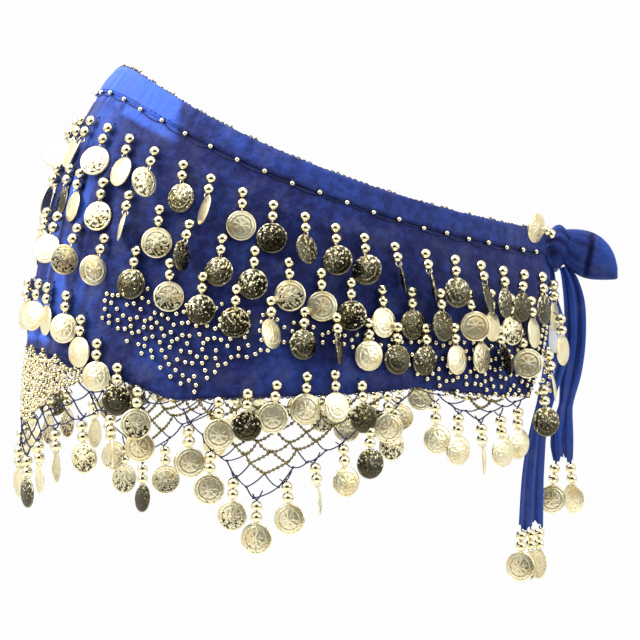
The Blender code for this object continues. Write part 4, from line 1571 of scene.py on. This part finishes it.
class HIPSCARF_OT_sewn_beads(bpy.types.Operator):
    """Sew the dense patches of small beads on the lower cloth"""

    bl_idname = "hip_scarf.sewn_beads"
    bl_label = "Sewn beads"

    def execute(self, context):
        made = finishes()
        used = [made["seed_plate"], made["blue_thread"]]
        for name, side, seed in (("front_sewn_beads", 1.0, 11), ("back_sewn_beads", -1.0, 12)):
            pile = Pile()
            for turn, depth, tone, _ in self.places(random.Random(seed)):
                self.sew(pile, side * turn, depth, tone)
            settle(pile.piece(name, used), "champagne_gold")
        return {"FINISHED"}

    def places(self, chance):
        """Bead places in meandering strings that fill each patch and keep apart."""
        found = []

        def clear(turn, depth, patch, own):
            if not between(patch.top, turn) <= depth <= between(patch.foot, turn):
                return False
            for other_turn, other_depth, _, string in found:
                across = (turn - other_turn) * METRES_PER_DEGREE
                room = STRING_STEP * 0.8 if string == own else STRING_GAP
                if across * across + (depth - other_depth) ** 2 < room ** 2:
                    return False
            return True

        for column in END_BEAD_COLUMNS:
            depth = END_BEAD_DEPTHS[0] + chance.uniform(0.0, END_BEAD_STEP)
            while depth < END_BEAD_DEPTHS[1]:
                if chance.random() < 0.85:
                    found.append((panel_turn(column, depth), depth, chance.uniform(0.0, 0.4), 0))
                depth += END_BEAD_STEP * chance.uniform(0.9, 1.2)
        string = 0
        for patch in PATCHES:
            low, high = patch.top[0].turn, patch.top[-1].turn
            for _ in range(int((high - low) * STRING_TRIES)):
                string += 1
                turn = chance.uniform(low, high)
                depth = chance.uniform(between(patch.top, turn), between(patch.foot, turn))
                heading = chance.uniform(0.0, 2.0 * math.pi)
                curl = chance.uniform(-0.75, 0.75)
                tone = chance.uniform(-0.1, 0.4)
                for _ in range(chance.randint(*STRING_BEADS)):
                    if low <= turn <= high and clear(turn, depth, patch, string):
                        found.append((turn, depth, tone, string))
                    step = STRING_STEP * chance.uniform(0.92, 1.15)
                    turn += math.cos(heading) * step / METRES_PER_DEGREE
                    depth += math.sin(heading) * step
                    heading += curl + chance.gauss(0.0, 0.25)
        return found

    def sew(self, pile, turn, depth, tone):
        """One bead flat on the cloth, its hole along the sewing thread."""
        size = bpy.context.scene.hip_scarf_trim.seed
        centre = on_scarf(turn, depth, CLOTH + size * 0.46)
        tip = Matrix.Rotation(turn * 1.7 + depth * 900.0, 4, "Z")
        lean = Matrix.Rotation(math.pi / 2.0, 4, "X")
        pile.add(SEED_BEAD, placed(centre, size, tip, lean), 0, tone)


SEED_BEAD = ball(9, 6, 0.9, 0.25)


def smooth_sections(sections, count):
    """Sections read from a smooth curve through the given ones."""
    values = np.array([list(section) for section in sections], dtype=float)
    last = len(values) - 1
    found = []
    for step in range(count):
        place = last * step / (count - 1)
        index = min(int(place), last - 1)
        share = place - index
        before = values[max(index - 1, 0)]
        start = values[index]
        end = values[index + 1]
        after = values[min(index + 2, last)]
        found.append(
            0.5 * (
                2.0 * start + (end - before) * share
                + (2.0 * before - 5.0 * start + 4.0 * end - after) * share ** 2
                + (3.0 * start - before - 3.0 * end + after) * share ** 3
            )
        )
    return found


def tail_frame(section):
    """Middle of a tail's section, its way across and its face's way out."""
    height, turn, out, _, twist = section
    tangent, normal = form_frame(turn, height)
    angle = math.radians(twist)
    across = tangent * math.cos(angle) + normal * math.sin(angle)
    face = normal * math.cos(angle) - tangent * math.sin(angle)
    return on_form(turn, height, out + TAIL_CLOTH / 2.0), across, face


# Rows and columns of each cloth form of the tie, and their walls
TAIL_ROWS = 70
TAIL_COLUMNS = 34
STRAP_ROWS = 25
STRAP_COLUMNS = 90
KNOT_ROWS = 44
KNOT_COLUMNS = 52
LOOP_ROWS = 54
LOOP_COLUMNS = 64
TIE_WALL = 0.0007
TAIL_DROP_DOWN = 0.0022
KNOT_DROP_FACING = Vector((-0.35, -0.94, 0.0))
KNOT_DROP_SAG = 0.0045
KNOT_DROP_SHIFT = Vector((-0.0040, -0.0010, -0.0030))


class HIPSCARF_OT_tie(bpy.types.Operator):
    """Build the strap behind, the knot, its loop, both tails and their drops"""

    bl_idname = "hip_scarf.tie"
    bl_label = "Tie"

    def execute(self, context):
        self.strap()
        self.knot()
        self.loop()
        self.tail("long_tail", LONG_TAIL, 2.5, 0.3, 0.0016)
        self.tail("short_tail", SHORT_TAIL, 2.0, 1.4, 0.0015)
        self.tail_drops("long_tail", LONG_TAIL, LONG_TAIL_DROPS, 60)
        self.tail_drops("short_tail", SHORT_TAIL, SHORT_TAIL_DROPS, 61)
        self.knot_drop()
        return {"FINISHED"}

    def strap(self):
        """The far tie, gathered into lengthwise pleats on its way to the knot."""
        start = END_COLUMN + STRAP_START_GAP

        def at(row, step):
            level = row / (STRAP_ROWS - 1.0)
            share = step / (STRAP_COLUMNS - 1.0)
            top = STRAP_TOP[0] + (STRAP_TOP[1] - STRAP_TOP[0]) * share
            foot = STRAP_FOOT[0] + (STRAP_FOOT[1] - STRAP_FOOT[0]) * share
            depth = top + (foot - top) * level
            column = start + (STRAP_END - start) * share
            turn = -column * (1.0 - LEAN_PER_METRE * depth * (1.0 - share))
            gather = blend(0.0, 0.8, share)
            pleat = math.sin(level * math.pi * 7.0 + 0.9 * math.sin(share * 5.0))
            out = STRAP_CLOTH / 2.0 + 0.0009 * pleat * gather
            point = on_form(turn, top_edge(turn) - depth, out)
            # Painted shade: the tone is lighter on the pleats' crests and darker in their hollows
            return point, (share * 0.12, -depth), 0.30 + 0.22 * pleat * gather

        size = (STRAP_ROWS, STRAP_COLUMNS)
        piece = cloth_piece("strap_cloth", size, at, "tie_chiffon", TIE_WALL, leftward=True)
        settle(piece, "blue_chiffon", "tie_strap")

    def knot(self):
        """A tight rounded knot with its cloth wound across it."""
        tangent, normal = form_frame(KNOT_TURN, KNOT_HEIGHT)
        centre = on_form(KNOT_TURN, KNOT_HEIGHT, KNOT_OUT)

        def at(row, column):
            polar = math.pi * (row + 0.5) / KNOT_ROWS
            angle = 2.0 * math.pi * column / KNOT_COLUMNS
            x = math.sin(polar) * math.cos(angle)
            y = math.sin(polar) * math.sin(angle)
            z = math.cos(polar)
            wrap = z * 5.2 + x * 2.4 + 0.8 * y
            ridge = math.sin(wrap * 2.1) * (1.0 - z * z) ** 0.5
            swell = 1.0 + 0.075 * ridge
            point = centre + tangent * (x * KNOT_HALF.x * swell)
            point += normal * (y * KNOT_HALF.y * swell)
            point += Vector((0.0, 0.0, z * KNOT_HALF.z))
            # Painted shade: the tone is lighter on the wound ridges and darker in the grooves
            # between them
            return point, (angle * 0.006, polar * 0.008), 0.18 + 0.22 * ridge

        wound_piece("knot_cloth", (KNOT_ROWS, KNOT_COLUMNS), at, "tie_knot")

    def loop(self):
        """The loop of the bow, a flat-footed bag with a deep fold across its face."""
        heading = Vector((math.cos(LOOP_HEADING), math.sin(LOOP_HEADING), 0.0))
        side = Vector((-heading.y, heading.x, 0.0))
        knot = on_form(KNOT_TURN, KNOT_HEIGHT, KNOT_OUT)
        sections = smooth_sections(LOOP, LOOP_ROWS)

        def at(row, column):
            reach, top, foot, half_depth = sections[row]
            angle = 2.0 * math.pi * column / LOOP_COLUMNS
            level = math.copysign(abs(math.sin(angle)) ** 0.75, math.sin(angle))
            depth = math.copysign(abs(math.cos(angle)) ** 0.75, math.cos(angle))
            fold_line = 0.0205 - 0.0050 * (0.5 - 0.5 * level) ** 1.4
            fold = math.exp(-(((reach - fold_line) / 0.0017) ** 2))
            gather = math.sin(level * 8.0 + reach * 120.0) * math.exp(-reach / 0.012)
            lift = 1.0 - 0.62 * fold + 0.14 * gather
            point = knot + heading * reach + side * (half_depth * depth * lift)
            point.z = (top + foot) / 2.0 + (top - foot) / 2.0 * level
            # Painted light and shade: the outer lobe's upper part glows, the deep fold and the
            # gathers' hollows are darker, and streaks of painted light run over the part next to
            # the knot
            lobe = blend(0.020, 0.028, reach)
            streak = math.sin(level * 17.0 + reach * 260.0) * (1.0 - lobe) * 0.16
            glow = 0.62 * lobe * (0.5 + 0.5 * level)
            tone = 0.28 + glow - 0.5 * fold + 0.25 * gather + streak
            return point, (angle * 0.008, reach), tone

        wound_piece("loop_cloth", (LOOP_ROWS, LOOP_COLUMNS), at, "tie_loop")

    def tail(self, name, sections, folds, phase, depth):
        """A tie end that opens from a gathered top into soft lengthwise folds."""
        placed_rows = [
            (section[0], section[3], tail_frame(section))
            for section in smooth_sections(sections, TAIL_ROWS)
        ]

        def at(row, column):
            height, width, (centre, tangent, normal) = placed_rows[row]
            share = row / (TAIL_ROWS - 1)
            across = column / (TAIL_COLUMNS - 1) - 0.5
            wave = math.sin(2.0 * math.pi * folds * across + phase + 2.2 * share)
            fine = math.sin(2.0 * math.pi * folds * 2.7 * across + 1.3 * phase - 4.0 * share)
            lift = (depth * wave + 0.0004 * fine) * (1.0 - 0.55 * share)
            point = centre + tangent * (across * width) + normal * lift
            ragged = 0.0022 * math.sin(9.0 * across + phase) + 0.0008 * math.sin(41.0 * across)
            point.z += ragged * max(share - 0.8, 0.0) * 5.0
            # Painted shade: the tone is lighter on the folds' crests and darker in their hollows
            return point, (across * width, -height), 0.42 + 0.26 * wave + 0.16 * fine

        size = (TAIL_ROWS, TAIL_COLUMNS)
        piece = cloth_piece(name + "_cloth", size, at, "tie_chiffon", TIE_WALL)
        settle(piece, "blue_chiffon", name)

    def tail_drops(self, name, sections, places, seed):
        """Drops along the cut end of a tail."""
        middle, tangent, normal = tail_frame(sections[-1])
        maker = DropMaker(seed, 0.0)
        for across in places:
            root = middle + tangent * across + Vector((0.0, 0.0, -TAIL_DROP_DOWN))
            maker.free(root, normal, 0.35)
        maker.piece(name + "_coins", name + "_drops")

    def knot_drop(self):
        """A drop that lies turned up over the top edge beside the knot."""
        start = on_form(*KNOT_DROP_START)
        end = on_form(*KNOT_DROP_END)
        along = (end - start).normalized()
        normal = form_frame(KNOT_DROP_START[0], KNOT_DROP_START[1])[1]
        across = along.cross(normal).normalized()
        maker = DropMaker(62, 0.0)

        def place(fall, aside, _):
            sag = Vector((0.0, 0.0, -KNOT_DROP_SAG * clamp(fall / maker.COIN_FALL) ** 2))
            return start + KNOT_DROP_SHIFT + along * max(fall, 0.0) + across * aside + sag

        maker.hang(place, KNOT_DROP_FACING, edge_on=0.0)
        maker.piece("knot_coin", "knot_drop")


LABEL_LENGTH = LABEL_SECTIONS[0].height - LABEL_SECTIONS[1].height
LABEL_ROWS = 14
LABEL_COLUMNS = 10
LABEL_WALL = 0.0003


class HIPSCARF_OT_label(bpy.types.Operator):
    """Sew the blank label on the long tail"""

    bl_idname = "hip_scarf.label"
    bl_label = "Blank label"

    def execute(self, context):
        off = (TAIL_CLOTH + LABEL_CLOTH) / 2.0 + SEAM
        top, foot = (np.array(list(section)) for section in LABEL_SECTIONS)

        def at(row, column):
            level = row / (LABEL_ROWS - 1.0)
            centre, tangent, normal = tail_frame(top + (foot - top) * level)
            across = column / (LABEL_COLUMNS - 1.0) - 0.5
            curl = off + 0.0010 * level ** 2 * (0.4 + across)
            point = centre + tangent * (across * LABEL_WIDTH) + normal * curl
            return point, (across * LABEL_WIDTH, level * LABEL_LENGTH), 0.0

        size = (LABEL_ROWS, LABEL_COLUMNS)
        piece = cloth_piece("label_ribbon", size, at, "label_satin", LABEL_WALL)
        settle(piece, "white_satin", "blank_label")
        return {"FINISHED"}


class HIPSCARF_OT_declare(bpy.types.Operator):
    """Gather the sewn pieces by their names; nothing more is done with them"""

    bl_idname = "hip_scarf.declare"
    bl_label = "Cloth sizes"

    def execute(self, context):
        pieces = bpy.data.objects
        sewn = [
            piece for piece in pieces
            if piece.name.endswith(("_row_upper_drops", "_row_middle_drops", "_row_lower_drops",
                                    "_peak_drops", "_end_coins", "_net_beads", "_net_coins",
                                    "_sewn_beads"))
        ]
        return {"FINISHED"}


# Studio: the middle of the picture, the floor, and each light's heading, height, size and power
PICTURE_ASIDE = 0.010
PICTURE_HEIGHT = -0.0896
SENSOR = 36.0
FLOOR_LEVEL = -0.90
FLOOR_RADIUS = 2.6
Lamp = namedtuple("Lamp", "name azimuth elevation distance size power colour")
LAMPS = (
    Lamp("key_softbox", -100.0, 38.0, 1.5, 0.9, 26.0, (1.0, 0.98, 0.95)),
    Lamp("fill_softbox", 35.0, 18.0, 1.8, 1.2, 12.0, (0.96, 0.98, 1.0)),
    Lamp("top_softbox", -30.0, 80.0, 1.3, 1.0, 14.0, (1.0, 1.0, 1.0)),
    Lamp("back_softbox", 160.0, 35.0, 1.8, 1.2, 14.0, (1.0, 1.0, 1.0)),
)
# Room that the gold mirrors: its brightness, its dimmer wall behind the camera, and the dark
# opening that the camera looks through, the last two as cosines of the angle from their middle
ROOM_LIGHT = 0.92
ROOM_SEEN = 0.985
WALL_LIGHT = 0.26
WALL_AZIMUTH = math.radians(-8.0)
WALL_REACH = (0.38, 0.62)
WALL_TOP = (0.30, 0.52)
WALL_FOOT = (-0.80, -0.50)
OPENING_LIGHT = 0.0
OPENING_REACH = (0.86, 0.91)


def heading(azimuth, elevation):
    """Direction towards a viewer at an azimuth and elevation in radians."""
    level = math.cos(elevation)
    return Vector((math.sin(azimuth) * level, -math.cos(azimuth) * level, math.sin(elevation)))


class HIPSCARF_OT_studio(bpy.types.Operator):
    """Set the floor, the lights, the surroundings and the camera"""

    bl_idname = "hip_scarf.studio"
    bl_label = "Studio"

    def execute(self, context):
        studio = context.scene.hip_scarf_studio
        self.floor()
        towards = heading(studio.azimuth, studio.elevation)
        aside = Vector((math.cos(studio.azimuth), math.sin(studio.azimuth), 0.0))
        target = aside * PICTURE_ASIDE + Vector((0.0, 0.0, PICTURE_HEIGHT))
        camera = bpy.data.cameras.new("photo_camera")
        camera.sensor_width = SENSOR
        camera.lens = SENSOR * studio.distance / studio.across
        camera.clip_start = 0.05
        camera.clip_end = 30.0
        holder = bpy.data.objects.new("photo_camera", camera)
        holder.location = target + towards * studio.distance
        holder.rotation_euler = (-towards).to_track_quat("-Z", "Y").to_euler()
        context.scene.collection.objects.link(holder)
        context.scene.camera = holder
        for lamp in LAMPS:
            self.lamp(context, lamp, target)
        self.surroundings(context, towards)
        context.scene.view_settings.view_transform = "Standard"
        return {"FINISHED"}

    def floor(self):
        """A plain pale disc."""
        bm = bmesh.new()
        bmesh.ops.create_circle(bm, cap_ends=True, segments=96, radius=FLOOR_RADIUS)
        mesh = bpy.data.meshes.new("floor")
        bm.to_mesh(mesh)
        bm.free()
        floor = bpy.data.objects.new("floor", mesh)
        floor.location = (0.0, 0.0, FLOOR_LEVEL)
        bpy.context.scene.collection.objects.link(floor)
        finish = Finish("pale_floor")
        finish.set(Base_Color=(0.80, 0.80, 0.79, 1.0), Roughness=0.7)
        mesh.materials.append(finish.material)

    def lamp(self, context, lamp, target):
        """One square soft light aimed at the scarf."""
        light = bpy.data.lights.new(lamp.name, "AREA")
        light.shape = "SQUARE"
        light.size = lamp.size
        light.energy = lamp.power
        light.color = lamp.colour
        towards = heading(math.radians(lamp.azimuth), math.radians(lamp.elevation))
        holder = bpy.data.objects.new(lamp.name, light)
        holder.location = target + towards * lamp.distance
        holder.rotation_euler = (-towards).to_track_quat("-Z", "Y").to_euler()
        context.scene.collection.objects.link(holder)

    def surroundings(self, context, towards):
        """A pale room with one unlit end, which gives the gold its dark glints."""
        world = bpy.data.worlds.new("studio_room")
        world.use_nodes = True
        room = Wiring(world.node_tree)
        way = room.node("ShaderNodeTexCoord")
        level = room.node("ShaderNodeSeparateXYZ", wired={0: way}, output=2)

        def facing(direction):
            dot = {"operation": "DOT_PRODUCT"}
            return room.node("ShaderNodeVectorMath", dot, {0: way, 1: direction}, output=1)

        wall = facing(heading(WALL_AZIMUTH, 0.0)).rise(*WALL_REACH)
        wall = wall * (1.0 - level.rise(*WALL_TOP)) * level.rise(*WALL_FOOT)
        opening = facing(towards).rise(*OPENING_REACH)
        light = ROOM_LIGHT - wall * (ROOM_LIGHT - WALL_LIGHT)
        light = light * (1.0 - opening) + opening * OPENING_LIGHT
        seen = room.node("ShaderNodeLightPath")
        background = world.node_tree.nodes["Background"]
        background.inputs["Color"].default_value = (1.0, 1.0, 1.0, 1.0)
        shown = light * (1.0 - seen) + seen * ROOM_SEEN
        room.wire(background.inputs["Strength"], shown)
        context.scene.world = world


class HIPSCARF_PT_sidebar(bpy.types.Panel):
    """Sizes, colours and building steps of the hip scarf"""

    bl_label = "Hip scarf"
    bl_idname = "HIPSCARF_PT_sidebar"
    bl_space_type = "VIEW_3D"
    bl_region_type = "UI"
    bl_category = "Hip scarf"

    def draw(self, context):
        scene = context.scene
        for title, group in (
            ("Cloth", scene.hip_scarf_cloth),
            ("Trim", scene.hip_scarf_trim),
            ("Studio", scene.hip_scarf_studio),
        ):
            box = self.layout.box()
            box.label(text=title)
            for name in group.bl_rna.properties.keys():
                if name not in ("rna_type", "name"):
                    box.prop(group, name)
        for step in STEPS:
            self.layout.operator(step.bl_idname)


GROUPS = (HIPSCARF_PG_cloth, HIPSCARF_PG_trim, HIPSCARF_PG_studio)
STEPS = (
    HIPSCARF_OT_studio,
    HIPSCARF_OT_panel,
    HIPSCARF_OT_edging,
    HIPSCARF_OT_sewn_beads,
    HIPSCARF_OT_coin_rows,
    HIPSCARF_OT_end_drops,
    HIPSCARF_OT_nets,
    HIPSCARF_OT_net_fringes,
    HIPSCARF_OT_tie,
    HIPSCARF_OT_label,
    HIPSCARF_OT_declare,
)
CLASSES = (*GROUPS, *STEPS, HIPSCARF_PT_sidebar)


def register():
    """Register the classes and the scene's settings."""
    for item in CLASSES:
        bpy.utils.register_class(item)
    bpy.types.Scene.hip_scarf_cloth = bpy.props.PointerProperty(type=HIPSCARF_PG_cloth)
    bpy.types.Scene.hip_scarf_trim = bpy.props.PointerProperty(type=HIPSCARF_PG_trim)
    bpy.types.Scene.hip_scarf_studio = bpy.props.PointerProperty(type=HIPSCARF_PG_studio)


def unregister():
    """Remove the classes and the scene's settings."""
    del bpy.types.Scene.hip_scarf_studio
    del bpy.types.Scene.hip_scarf_trim
    del bpy.types.Scene.hip_scarf_cloth
    for item in reversed(CLASSES):
        bpy.utils.unregister_class(item)


def main():
    """Build the whole scarf."""
    register()
    for step in STEPS:
        group, name = step.bl_idname.split(".")
        getattr(getattr(bpy.ops, group), name)()


if __name__ == "__main__":
    main()
